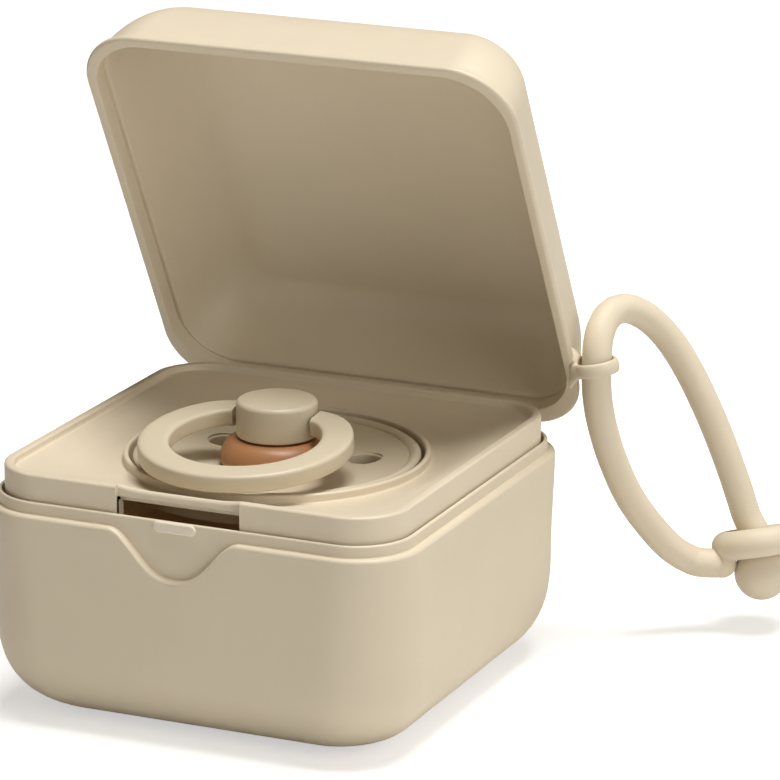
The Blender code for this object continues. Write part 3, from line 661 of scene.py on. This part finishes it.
lid_dome = make("lid_dome", points, faces, lid_mat, None)
for side in (1.0, -1.0):
    points, faces = rod_mesh(
        barrel_radius + gap,
        (side * (lid_knuckle_half - 0.5 * embed), hinge_y, hinge_z),
        (side * (tub_knuckle_x + tub_knuckle_length + gap), hinge_y, hinge_z))
    cut(lid_dome, make("relief", points, faces, lid_mat, None))
lid_dome.data.transform(swing)
finish_piece(lid_dome, lid_mat, "lid")
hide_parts("lid_shell")

# Knuckle of the lid
web_y = tub_half + rim_reach - embed
web = prism_mesh([
    (web_y, rim_z + 0.3 * rim_round),
    (web_y, rim_z + 0.9 * rim_height),
    (hinge_y - 0.45 * barrel_radius, hinge_z + 0.88 * barrel_radius),
    (hinge_y, hinge_z),
    (hinge_y - 0.9 * barrel_radius, hinge_z + 0.3 * barrel_radius),
], -(lid_knuckle_half - 0.0002), lid_knuckle_half - 0.0002)
barrel = rod_mesh(
    barrel_radius, (-lid_knuckle_half, hinge_y, hinge_z), (lid_knuckle_half, hinge_y, hinge_z), 64, 0.0002)
points, faces = joined([web, barrel])
make("lid_knuckle", turned(points, swing), faces, lid_mat, "lid", 30.0)

# Lug on the lid's right side
lug_hole = strap_radius + strap_hole_gap
lug_middle = lug_hole + 0.5 * lug_wall
lug_place = Vector((rim_half + lug_stand_off + lug_middle, hinge_y - lug_from_hinge, rim_z + lug_above_rim))
eye_rings = []
for i in range(72):
    a = 2.0 * math.pi * i / 72
    ring = []
    for j in range(28):
        b = 2.0 * math.pi * j / 28
        radius = lug_middle + 0.5 * lug_wall * math.cos(b)
        ring.append(Vector((radius * math.cos(a), 0.5 * lug_height * math.sin(b), radius * math.sin(a))))
    eye_rings.append(ring)
points, faces = loft(eye_rings, closed=True)
lug_turn = (
    Matrix.Translation(lug_place)
    @ Matrix.Rotation(math.radians(lug_tilt_deg), 4, "X")
    @ Matrix.Rotation(math.radians(lug_roll_deg), 4, "Z"))
eye = (turned(points, lug_turn), faces)
root_rings = []
root_in = tub_half - 0.3 * lid_wall
root_out = rim_half + lug_stand_off + 0.4 * lug_wall
root_low_z = rim_z + 0.0001
for x, long_share, tall_share in (
        (root_in, 1.0, 0.9), (tub_half + 0.5 * rim_reach, 0.85, 0.8), (root_out, 0.45, 0.55)):
    ring = []
    for j in range(48):
        b = 2.0 * math.pi * j / 48
        y = lug_place.y + 0.5 * long_share * lug_root_length * math.cos(b)
        z = max(lug_place.z + tall_share * lug_hole * math.sin(b), root_low_z)
        ring.append(Vector((x, y, z)))
    root_rings.append(ring)
root = loft(root_rings)
points, faces = joined([eye, root])
# Fin that melts the root into the rim: place, half thickness and half height of each section
fin_rings = []
for x, y, z, thick, tall in (
        (rim_half - 0.0006, 0.0314, 0.0440, 0.0006, 0.0022),
        (rim_half + 0.0002, 0.0310, 0.0444, 0.0007, 0.0017),
        (rim_half + 0.0011, 0.0304, 0.0449, 0.0006, 0.0012),
        (rim_half + 0.0020, 0.0299, 0.0452, 0.0004, 0.0009)):
    fin_rings.append([
        Vector((x, y + thick * math.cos(b), z + tall * math.sin(b)))
        for b in (2.0 * math.pi * j / 32 for j in range(32))])
melted(
    "lid_lug", [(turned(points, swing), faces), loft(fin_rings)],
    0.00016, 6, lid_mat, "lid")

# Tray
lip_half = tray_half - lip_width
lip_corner = tray_corner - lip_width
skirt_half = tray_half - tray_wall
skirt_corner = tray_corner - tray_wall
tray_foot_z = tray_seat_z + seat_gap
lip_square = outline(lip_half - 0.5 * tray_edge_round, lip_corner, 0.0)
dish_circle = round_outline(lip_square, dish_radius, dish_z)
skirt_square = outline(skirt_half, skirt_corner, 0.0)
seat_inner = collar_inner - well_seat_width
under_circle = round_outline(skirt_square, collar_outer, 0.0)


def circle(radius, z):
    return round_outline(lip_square, radius, z)


rings = [outline(tray_half, tray_corner, tray_foot_z)]
for c, s in quarter():
    inset = tray_edge_round * (1.0 - c)
    rings.append(outline(
        tray_half - inset, tray_corner - 0.3 * inset, tray_top_z - tray_edge_round * (1.0 - s)))
for c, s in quarter():
    inset = tray_edge_round * (1.0 - s)
    rings.append(outline(
        lip_half + inset, lip_corner + 0.5 * inset, tray_top_z - tray_edge_round * (1.0 - c)))
rings.append(outline(lip_half - 0.2 * tray_edge_round, lip_corner, lip_floor_z + 0.3 * tray_edge_round))
rings.append(outline(lip_half - 0.5 * tray_edge_round, lip_corner, lip_floor_z))
fall = ((0.0, 0.0), (0.2, 0.10), (0.4, 0.30), (0.6, 0.56), (0.8, 0.82), (1.0, 1.0))


def fall_at(share):
    for (s0, f0), (s1, f1) in zip(fall, fall[1:]):
        if share <= s1:
            t = (share - s0) / (s1 - s0)
            return f0 + (f1 - f0) * t
    return 1.0


dish_levels = 30
for i in range(1, dish_levels):
    share = i / dish_levels
    soft = 0.5 * (fall_at(max(share - 0.08, 0.0)) + fall_at(min(share + 0.08, 1.0)))
    rings.append(blend(lip_square, dish_circle, share, lip_floor_z - soft * dish_depth))
rings.append(circle(dish_radius, dish_z))
for c, s in quarter(4):
    rings.append(circle(collar_outer + 0.3 * collar_wall * (1.0 - s), dish_z + 0.3 * collar_wall * (1.0 - c)))
for c, s in quarter():
    rings.append(circle(
        collar_outer - 0.4 * collar_wall * (1.0 - c), collar_z - 0.4 * collar_wall * (1.0 - s)))
for c, s in quarter():
    rings.append(circle(
        collar_inner + 0.4 * collar_wall * (1.0 - s), collar_z - 0.4 * collar_wall * (1.0 - c)))
rings.append(circle(collar_inner, well_seat_z))
rings.append(circle(seat_inner, well_seat_z))
rings.append(circle(seat_inner, well_seat_z - well_seat_wall))
rings.append(circle(collar_outer, well_seat_z - well_seat_wall))
rings.append(circle(collar_outer + 0.5 * collar_wall, dish_z - plate_wall))
for share, fall_share in ((0.8, 0.84), (0.65, 0.65), (0.5, 0.45), (0.35, 0.28), (0.15, 0.1)):
    rings.append(blend(skirt_square, under_circle, share, lip_floor_z - fall_share * dish_depth - plate_wall))
rings.append(outline(skirt_half, skirt_corner, lip_floor_z - plate_wall))
rings.append(outline(skirt_half, skirt_corner, tray_foot_z))
points, faces = loft(rings, closed=True)
tray_plate = make("tray_plate", points, faces, tray_mat, None)
notch_z = tray_top_z - notch_roof_drop
edge_y = -(tray_half - notch_setback)


def notch_profile(edge_top_z):
    shape = [
        (-(tray_half + 0.003), tray_foot_z - 0.003),
        (-(skirt_half - embed), tray_foot_z - 0.003),
        (-(skirt_half - embed), notch_z),
    ]
    for c, s in quarter(4):
        shape.append((
            edge_y + 0.3 * notch_edge_round * (1.0 - s),
            notch_z + 0.3 * notch_edge_round * (1.0 - c)))
    for c, s in quarter(8):
        shape.append((edge_y + notch_edge_round * (1.0 - c), edge_top_z - notch_edge_round * (1.0 - s)))
    return shape + [
        (-(lip_half - 0.003), edge_top_z),
        (-(lip_half - 0.003), tray_top_z + 0.003),
        (-(tray_half + 0.003), tray_top_z + 0.003),
    ]


notch_rings = []
notch_steps = 40
for i in range(notch_steps + 1):
    across = -1.0 + 2.0 * i / notch_steps
    drop = notch_edge_drop * (1.0 - abs(across) ** 5)
    notch_rings.append([
        Vector((front_middle_x + notch_half * across, y, z)) for y, z in notch_profile(tray_top_z - drop)])
points, faces = loft(notch_rings)
cut(tray_plate, make("notch", points, faces, tray_mat, None))
for side in (1.0, -1.0):
    near_x = front_middle_x + side * notch_half
    rib = prism_mesh([
        (-(skirt_half + 0.5 * tray_wall), tray_foot_z + gap),
        (-(skirt_half - notch_rib_depth), tray_foot_z + gap),
        (-(skirt_half - notch_rib_depth), lip_floor_z - 0.5 * plate_wall),
        (-(skirt_half + 0.5 * tray_wall), lip_floor_z - 0.5 * plate_wall),
    ], near_x, near_x + side * notch_rib_width)
    make("tray_rib_" + ("right" if side > 0.0 else "left"), rib[0], rib[1], tray_mat, "tub")
finish_piece(tray_plate, tray_mat, "tub")
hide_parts("tray_insert")

# Pacifier shield
rim_inner = shield_radius - shield_rim_width


def shield_z(radius):
    return shield_centre_z + shield_dish * (radius / rim_inner) ** 2


neck_hole = neck_radius + gap
profile = [(neck_hole, shield_z(neck_hole))]
for i in range(1, 25):
    radius = neck_hole + (rim_inner - neck_hole) * i / 24.0
    profile.append((radius, shield_z(radius)))
for i in range(1, 20):
    t = i / 20.0
    up = math.sin(math.pi * min(t * 0.92, 1.0)) ** 0.75
    profile.append((rim_inner + shield_rim_width * t, shield_centre_z + shield_dish + shield_rim_rise * up))
profile += [
    (shield_radius, shield_top_z - 1.4 * shield_rim_rise),
    (shield_radius, shield_foot_z + 0.5 * shield_rim_width),
]
for c, s in quarter():
    profile.append((
        shield_radius - 0.5 * shield_rim_width * (1.0 - c),
        shield_foot_z + 0.5 * shield_rim_width * (1.0 - s)))
profile += [
    (0.7 * rim_inner, shield_z(0.7 * rim_inner) - shield_wall),
    (0.4 * rim_inner, shield_z(0.4 * rim_inner) - shield_wall),
    (neck_hole, shield_z(neck_hole) - shield_wall),
]
points, faces = revolve(profile, turn_steps, closed=True)
shield_disc = make("shield_disc", points, faces, toy_mat, None)
vent_edge = 0.0003
for side in (1.0, -1.0):
    vent_top = shield_z(math.hypot(vent_offset, vent_behind))
    vent_profile = [(0.0, shield_foot_z - 0.003), (vent_radius, shield_foot_z - 0.003)]
    vent_profile += [
        (vent_radius + vent_edge * (1.0 - c), vent_top - vent_edge + vent_edge * s) for c, s in quarter(5)]
    vent_profile += [(vent_radius + vent_edge, vent_top + 0.004), (0.0, vent_top + 0.004)]
    points, faces = revolve(vent_profile, 64)
    points = turned(points, Matrix.Translation((side * vent_offset, vent_behind, 0.0)))
    cut(shield_disc, make("vent", points, faces, toy_mat, None))
finish_piece(shield_disc, toy_mat, "pacifier", 32.0)
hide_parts("pacifier_shield")

# Nipple
flange_foot_z = shield_z(flange_radius) + gap
bulb_z = nipple_tip_z + bulb_radius
throat_z = shield_z(neck_hole) - shield_wall
throat_radius = 0.9 * neck_radius
neck_low_z = bulb_z + 1.35 * bulb_radius
profile = [(nipple_bore, flange_top_z), (flange_top_radius - 0.5 * flange_edge, flange_top_z)]
flange_fall = flange_top_z - flange_foot_z - 0.5 * flange_edge
for c, s in reversed(quarter(16)[1:]):
    profile.append((
        flange_top_radius + (flange_radius - flange_top_radius) * c,
        flange_foot_z + 0.5 * flange_edge + flange_fall * s))
for c, s in quarter():
    profile.append((
        flange_radius - 0.5 * flange_edge * (1.0 - c), flange_foot_z + 0.5 * flange_edge * (1.0 - s)))
profile += [
    (neck_radius, flange_foot_z),
    (neck_radius, throat_z - latex_wall),
    (throat_radius, throat_z - 3.0 * latex_wall),
    (0.98 * throat_radius, neck_low_z + 0.002),
    (1.02 * throat_radius, neck_low_z),
]
for i in range(31):
    a = math.radians(50.0 - 140.0 * i / 30.0)
    profile.append((max(bulb_radius * math.cos(a), 0.0), bulb_z + bulb_radius * math.sin(a)))
profile[-1] = (0.0, nipple_tip_z)
profile.append((0.0, nipple_tip_z + latex_wall))
for i in range(1, 21):
    a = math.radians(-90.0 + 140.0 * i / 20.0)
    inner_radius = bulb_radius - latex_wall
    profile.append((inner_radius * math.cos(a), bulb_z + inner_radius * math.sin(a)))
profile.append((nipple_bore, neck_low_z))
points, faces = revolve(profile, 96, closed=True)
nipple_latex = make("nipple_latex", points, faces, latex_mat, "pacifier", 50.0)
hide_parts("pacifier_nipple")

# Knob
profile = [(0.0, knob_top_z)]
for i in range(1, 12):
    radius = (knob_radius - knob_round) * i / 12.0
    profile.append((radius, knob_top_z - knob_crown * (radius / (knob_radius - knob_round)) ** 2))
for c, s in quarter(12):
    profile.append((
        knob_radius - knob_round * (1.0 - s), knob_top_z - knob_crown - knob_round * (1.0 - c)))
profile.append((knob_radius, knob_foot_z + 0.4 * knob_round))
for c, s in quarter():
    profile.append((
        knob_radius - 0.4 * knob_round * (1.0 - c), knob_foot_z + 0.4 * knob_round * (1.0 - s)))
profile += [
    (stem_radius, knob_foot_z),
    (stem_radius, knob_foot_z - stem_length),
    (0.0, knob_foot_z - stem_length),
]
points, faces = revolve(profile)
knob_cap = make("knob_cap", points, faces, toy_mat, None)
pin_tip_x = knob_radius - ring_pin_reach
for side in (1.0, -1.0):
    points, faces = rod_mesh(
        ring_pin_radius + gap,
        (side * (pin_tip_x - gap), 0.0, pivot_z), (side * (knob_radius + 0.003), 0.0, pivot_z))
    cut(knob_cap, make("bore", points, faces, toy_mat, None))
finish_piece(knob_cap, toy_mat, "pacifier", 32.0)
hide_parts("pacifier_knob")

# Ring
ring_mid = ring_outer_radius - 0.5 * ring_width
ring_start = Vector((knob_radius + gap, 0.0))
join = math.radians(ring_join_deg)
ring_join = Vector((ring_mid * math.cos(join), ring_mid * math.sin(join) - ring_ahead))
join_way = Vector((math.sin(join), -math.cos(join)))
reach = (ring_join - ring_start).length
ring_side = []
end_steps = 26
for i in range(end_steps):
    t = i / end_steps
    h0 = 2.0 * t ** 3 - 3.0 * t ** 2 + 1.0
    h1 = t ** 3 - 2.0 * t ** 2 + t
    h2 = -2.0 * t ** 3 + 3.0 * t ** 2
    h3 = t ** 3 - t ** 2
    spot = ring_start * h0 + Vector((reach, 0.0)) * h1 + ring_join * h2 + join_way * reach * h3
    ring_side.append((spot, ring_end_width + (ring_width - ring_end_width) * h2))
ring_path = list(ring_side)
arc_steps = 130
arc_turn = math.pi + 2.0 * join
for i in range(arc_steps + 1):
    a = join - arc_turn * i / arc_steps
    ring_path.append((Vector((ring_mid * math.cos(a), ring_mid * math.sin(a) - ring_ahead)), ring_width))
for spot, width in reversed(ring_side):
    ring_path.append((Vector((-spot.x, spot.y)), width))
rings = []
section_steps = 48
for i, (spot, width) in enumerate(ring_path):
    before = ring_path[max(i - 1, 0)][0]
    after = ring_path[min(i + 1, len(ring_path) - 1)][0]
    way = (after - before).normalized()
    if i in (0, len(ring_path) - 1):
        way = Vector((1.0, 0.0))
    side = Vector((-way.y, way.x))
    ring = []
    for j in range(section_steps):
        b = 2.0 * math.pi * j / section_steps
        across = math.copysign(abs(math.cos(b)) ** ring_square_share, math.cos(b))
        up = math.copysign(abs(math.sin(b)) ** ring_square_share, math.sin(b))
        flat = spot + side * (0.5 * width * across)
        ring.append(Vector((flat.x, flat.y, 0.5 * ring_thickness * up)))
    rings.append(ring)
ring_turn = Matrix.Translation((0.0, 0.0, pivot_z)) @ Matrix.Rotation(math.radians(ring_tilt_deg), 4, "X")
pins = [
    rod_mesh(
        ring_pin_radius,
        (side * pin_tip_x, 0.0, 0.0), (side * (ring_start.x + 0.5 * ring_end_width), 0.0, 0.0), 40, 0.0002)
    for side in (1.0, -1.0)]
points, faces = joined([loft(rings)] + pins)
ring_band = make("ring_band", turned(points, ring_turn), faces, toy_mat, "ring", 50.0)
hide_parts("pacifier_ring")

# Carrying loop
strap_route = [
    (0.0499, 0.0452, 0.0122),
    (0.0476, 0.0429, 0.0145),
    (0.0448, 0.0402, 0.0190),
    (0.0425, 0.0376, 0.0240),
    (0.0408, 0.0356, 0.0296),
    (0.0399, 0.0344, 0.0336),
    (0.0392, 0.0335, 0.0377),
    (0.0389, 0.0328, 0.0419),
    (0.0389, 0.0327, 0.0461),
    (0.0385, 0.0344, 0.0499),
    (0.0386, 0.0379, 0.0524),
    (0.0399, 0.0418, 0.0528),
    (0.0420, 0.0449, 0.0510),
    (0.0440, 0.0471, 0.0483),
    (0.0460, 0.0486, 0.0450),
    (0.0479, 0.0496, 0.0413),
    (0.0497, 0.0503, 0.0374),
    (0.0513, 0.0510, 0.0335),
    (0.0528, 0.0516, 0.0295),
    (0.0542, 0.0521, 0.0255),
    (0.0556, 0.0524, 0.0214),
    (0.0569, 0.0524, 0.0178),
]
eyelet_centre = (0.0589, 0.0518, 0.0142)
ball_way_shares = (0.243, -0.202, -0.9485)
centre = Vector(eyelet_centre)
ball_way = Vector(ball_way_shares).normalized()
eyelet_middle = strap_radius + strap_hole_gap + eyelet_section_radius
eyelet_outer = eyelet_middle + eyelet_section_radius
ball_drop = math.sqrt((ball_radius + eyelet_section_radius + gap) ** 2 - eyelet_middle ** 2)
ball_centre = centre + ball_way * (ball_drop + 0.2 * gap)
first_way = Vector(strap_route[0]) - centre
first_way = (first_way - ball_way * first_way.dot(ball_way)).normalized()
neck_start = centre + first_way * (eyelet_outer + neck_reach) + ball_way * neck_drop
neck_root = centre + first_way * (eyelet_middle + neck_root_inset) + ball_way * neck_root_drop
neck_way = (neck_start - neck_root).normalized()
tube_start = neck_root + neck_way * (0.2 * strap_radius)
tube_end = ball_centre - ball_way * (ball_radius * 0.6)
route = [tube_start, neck_start + neck_way * (0.5 * strap_radius)]
route += [Vector(p) for p in strap_route]
route += [centre - ball_way * strap_radius * 0.5, tube_end]


def smooth_route(route, per_span):
    out = []
    last = len(route) - 1
    for i in range(last):
        p1 = route[i]
        p2 = route[i + 1]
        p0 = route[i - 1] if i > 0 else p1 * 2.0 - p2
        p3 = route[i + 2] if i + 2 <= last else p2 * 2.0 - p1
        for step in range(per_span):
            t = step / per_span
            out.append(0.5 * (
                p1 * 2.0 + (p2 - p0) * t
                + (p0 * 2.0 - p1 * 5.0 + p2 * 4.0 - p3) * t ** 2
                + (p1 * 3.0 - p0 - p2 * 3.0 + p3) * t ** 3))
    out.append(route[-1])
    return out


route_steps = 8
route_passes = 6
line = smooth_route(route, route_steps)
for _ in range(route_passes):
    line = [line[0]] + [
        (a + b * 2.0 + c) * 0.25 for a, b, c in zip(line, line[1:], line[2:])] + [line[-1]]
curve = bpy.data.curves.new("strap_silicone", "CURVE")
curve.dimensions = "3D"
curve.bevel_depth = strap_radius
curve.bevel_resolution = 8
curve.use_fill_caps = True
spline = curve.splines.new("POLY")
spline.points.add(len(line) - 1)
for point, spot in zip(spline.points, line):
    point.co = (spot.x, spot.y, spot.z, 1.0)
spline.use_smooth = True
curve.materials.append(silicone_mat)
strap_silicone = bpy.data.objects.new("strap_silicone", curve)
bpy.context.scene.collection.objects.link(strap_silicone)
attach(strap_silicone, "lid")
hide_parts("strap_tube")

# Eyelet with its neck, and the ball
torus_turns = 96
torus_section_turns = 36
torus_rings = []
for i in range(torus_turns):
    a = 2.0 * math.pi * i / torus_turns
    ring = []
    for j in range(torus_section_turns):
        b = 2.0 * math.pi * j / torus_section_turns
        radius = eyelet_middle + eyelet_section_radius * math.cos(b)
        ring.append(Vector((
            radius * math.cos(a), radius * math.sin(a), eyelet_section_radius * math.sin(b))))
    torus_rings.append(ring)
lean = ball_way.to_track_quat("Z", "Y").to_matrix().to_4x4()
points, faces = loft(torus_rings, closed=True)
torus = (turned(points, Matrix.Translation(centre) @ lean), faces)
stub_points, stub_faces = rod_mesh(
    0.99 * strap_radius, neck_root - neck_way * (1.1 * strap_radius), neck_start, 64, 0.98 * strap_radius)
strap_ring = melted(
    "strap_ring", [torus, (stub_points, stub_faces)],
    0.00018, 4, silicone_mat, "lid")
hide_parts("strap_eyelet")
profile = []
for i in range(49):
    a = math.radians(90.0 - 180.0 * i / 48.0)
    profile.append((max(ball_radius * math.cos(a), 0.0), ball_radius * math.sin(a)))
points, faces = revolve(profile, 96)
strap_knob = make(
    "strap_knob", turned(points, Matrix.Translation(ball_centre) @ lean), faces,
    silicone_mat, "lid", 180.0)
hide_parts("strap_ball")

# Carried-over pin
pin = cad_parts["hinge_pin"]
pin.data.materials.clear()
pin.data.materials.append(steel_mat)

# Floor, lights and world
floor_mesh = bpy.data.meshes.new("floor")
floor_reach = 6.0
floor_mesh.from_pydata(
    [(-floor_reach, -floor_reach, 0.0), (floor_reach, -floor_reach, 0.0),
     (floor_reach, floor_reach, 0.0), (-floor_reach, floor_reach, 0.0)], [], [(0, 1, 2, 3)])
floor = bpy.data.objects.new("floor", floor_mesh)
bpy.context.scene.collection.objects.link(floor)
floor_mat = bpy.data.materials.new("floor_pale")
floor_mat.use_nodes = True
tree = floor_mat.node_tree
tree.nodes.clear()
out = tree.nodes.new("ShaderNodeOutputMaterial")
matte = tree.nodes.new("ShaderNodeBsdfDiffuse")
matte.inputs["Color"].default_value = (0.80, 0.79, 0.77, 1.0)
glow = tree.nodes.new("ShaderNodeEmission")
glow.inputs["Color"].default_value = (1.0, 1.0, 1.0, 1.0)
path = tree.nodes.new("ShaderNodeLightPath")
seen = tree.nodes.new("ShaderNodeMath")
seen.operation = "MULTIPLY"
seen.inputs[1].default_value = 0.52
tree.links.new(path.outputs["Is Camera Ray"], seen.inputs[0])
tree.links.new(seen.outputs["Value"], glow.inputs["Strength"])
both = tree.nodes.new("ShaderNodeAddShader")
tree.links.new(matte.outputs["BSDF"], both.inputs[0])
tree.links.new(glow.outputs["Emission"], both.inputs[1])
tree.links.new(both.outputs["Shader"], out.inputs["Surface"])
floor_mesh.materials.append(floor_mat)

world = bpy.data.worlds.new("studio")
bpy.context.scene.world = world
world.use_nodes = True
tree = world.node_tree
tree.nodes.clear()
out = tree.nodes.new("ShaderNodeOutputWorld")
soft_sky = tree.nodes.new("ShaderNodeBackground")
soft_sky.inputs["Color"].default_value = (1.0, 0.80, 0.54, 1.0)
soft_sky.inputs["Strength"].default_value = 0.08
white = tree.nodes.new("ShaderNodeBackground")
white.inputs["Color"].default_value = (1.0, 1.0, 1.0, 1.0)
white.inputs["Strength"].default_value = 1.0
path = tree.nodes.new("ShaderNodeLightPath")
mix = tree.nodes.new("ShaderNodeMixShader")
tree.links.new(path.outputs["Is Camera Ray"], mix.inputs[0])
tree.links.new(soft_sky.outputs["Background"], mix.inputs[1])
tree.links.new(white.outputs["Background"], mix.inputs[2])
tree.links.new(mix.outputs["Shader"], out.inputs["Surface"])


def lamp(name, place, target, size, power, colour=(1.0, 1.0, 1.0)):
    data = bpy.data.lights.new(name, "AREA")
    data.shape = "SQUARE"
    data.size = size
    data.energy = power
    data.color = colour
    obj = bpy.data.objects.new(name, data)
    obj.location = place
    obj.rotation_euler = (Vector(target) - Vector(place)).to_track_quat("-Z", "Y").to_euler()
    bpy.context.scene.collection.objects.link(obj)


middle = (0.0, 0.0, 0.04)
lamp("top_lamp", (0.12, 0.04, 0.90), middle, 0.40, 8.2)
lamp("right_lamp", (0.78, -0.34, 0.34), middle, 0.50, 2.5)
lamp("side_lamp", (0.62, 0.50, 0.34), middle, 0.50, 0.8)
lamp("front_lamp", (-0.30, -0.88, 0.20), middle, 0.60, 0.65)
# A faint warm glow inside the tub, seen only through the notch and the vents
lamp("tub_lamp", (0.0, 0.0, 0.010), (0.0, 0.0, 0.04), 0.020, 0.0020, (1.0, 0.70, 0.40))

scene = bpy.context.scene
scene.view_settings.view_transform = "Standard"
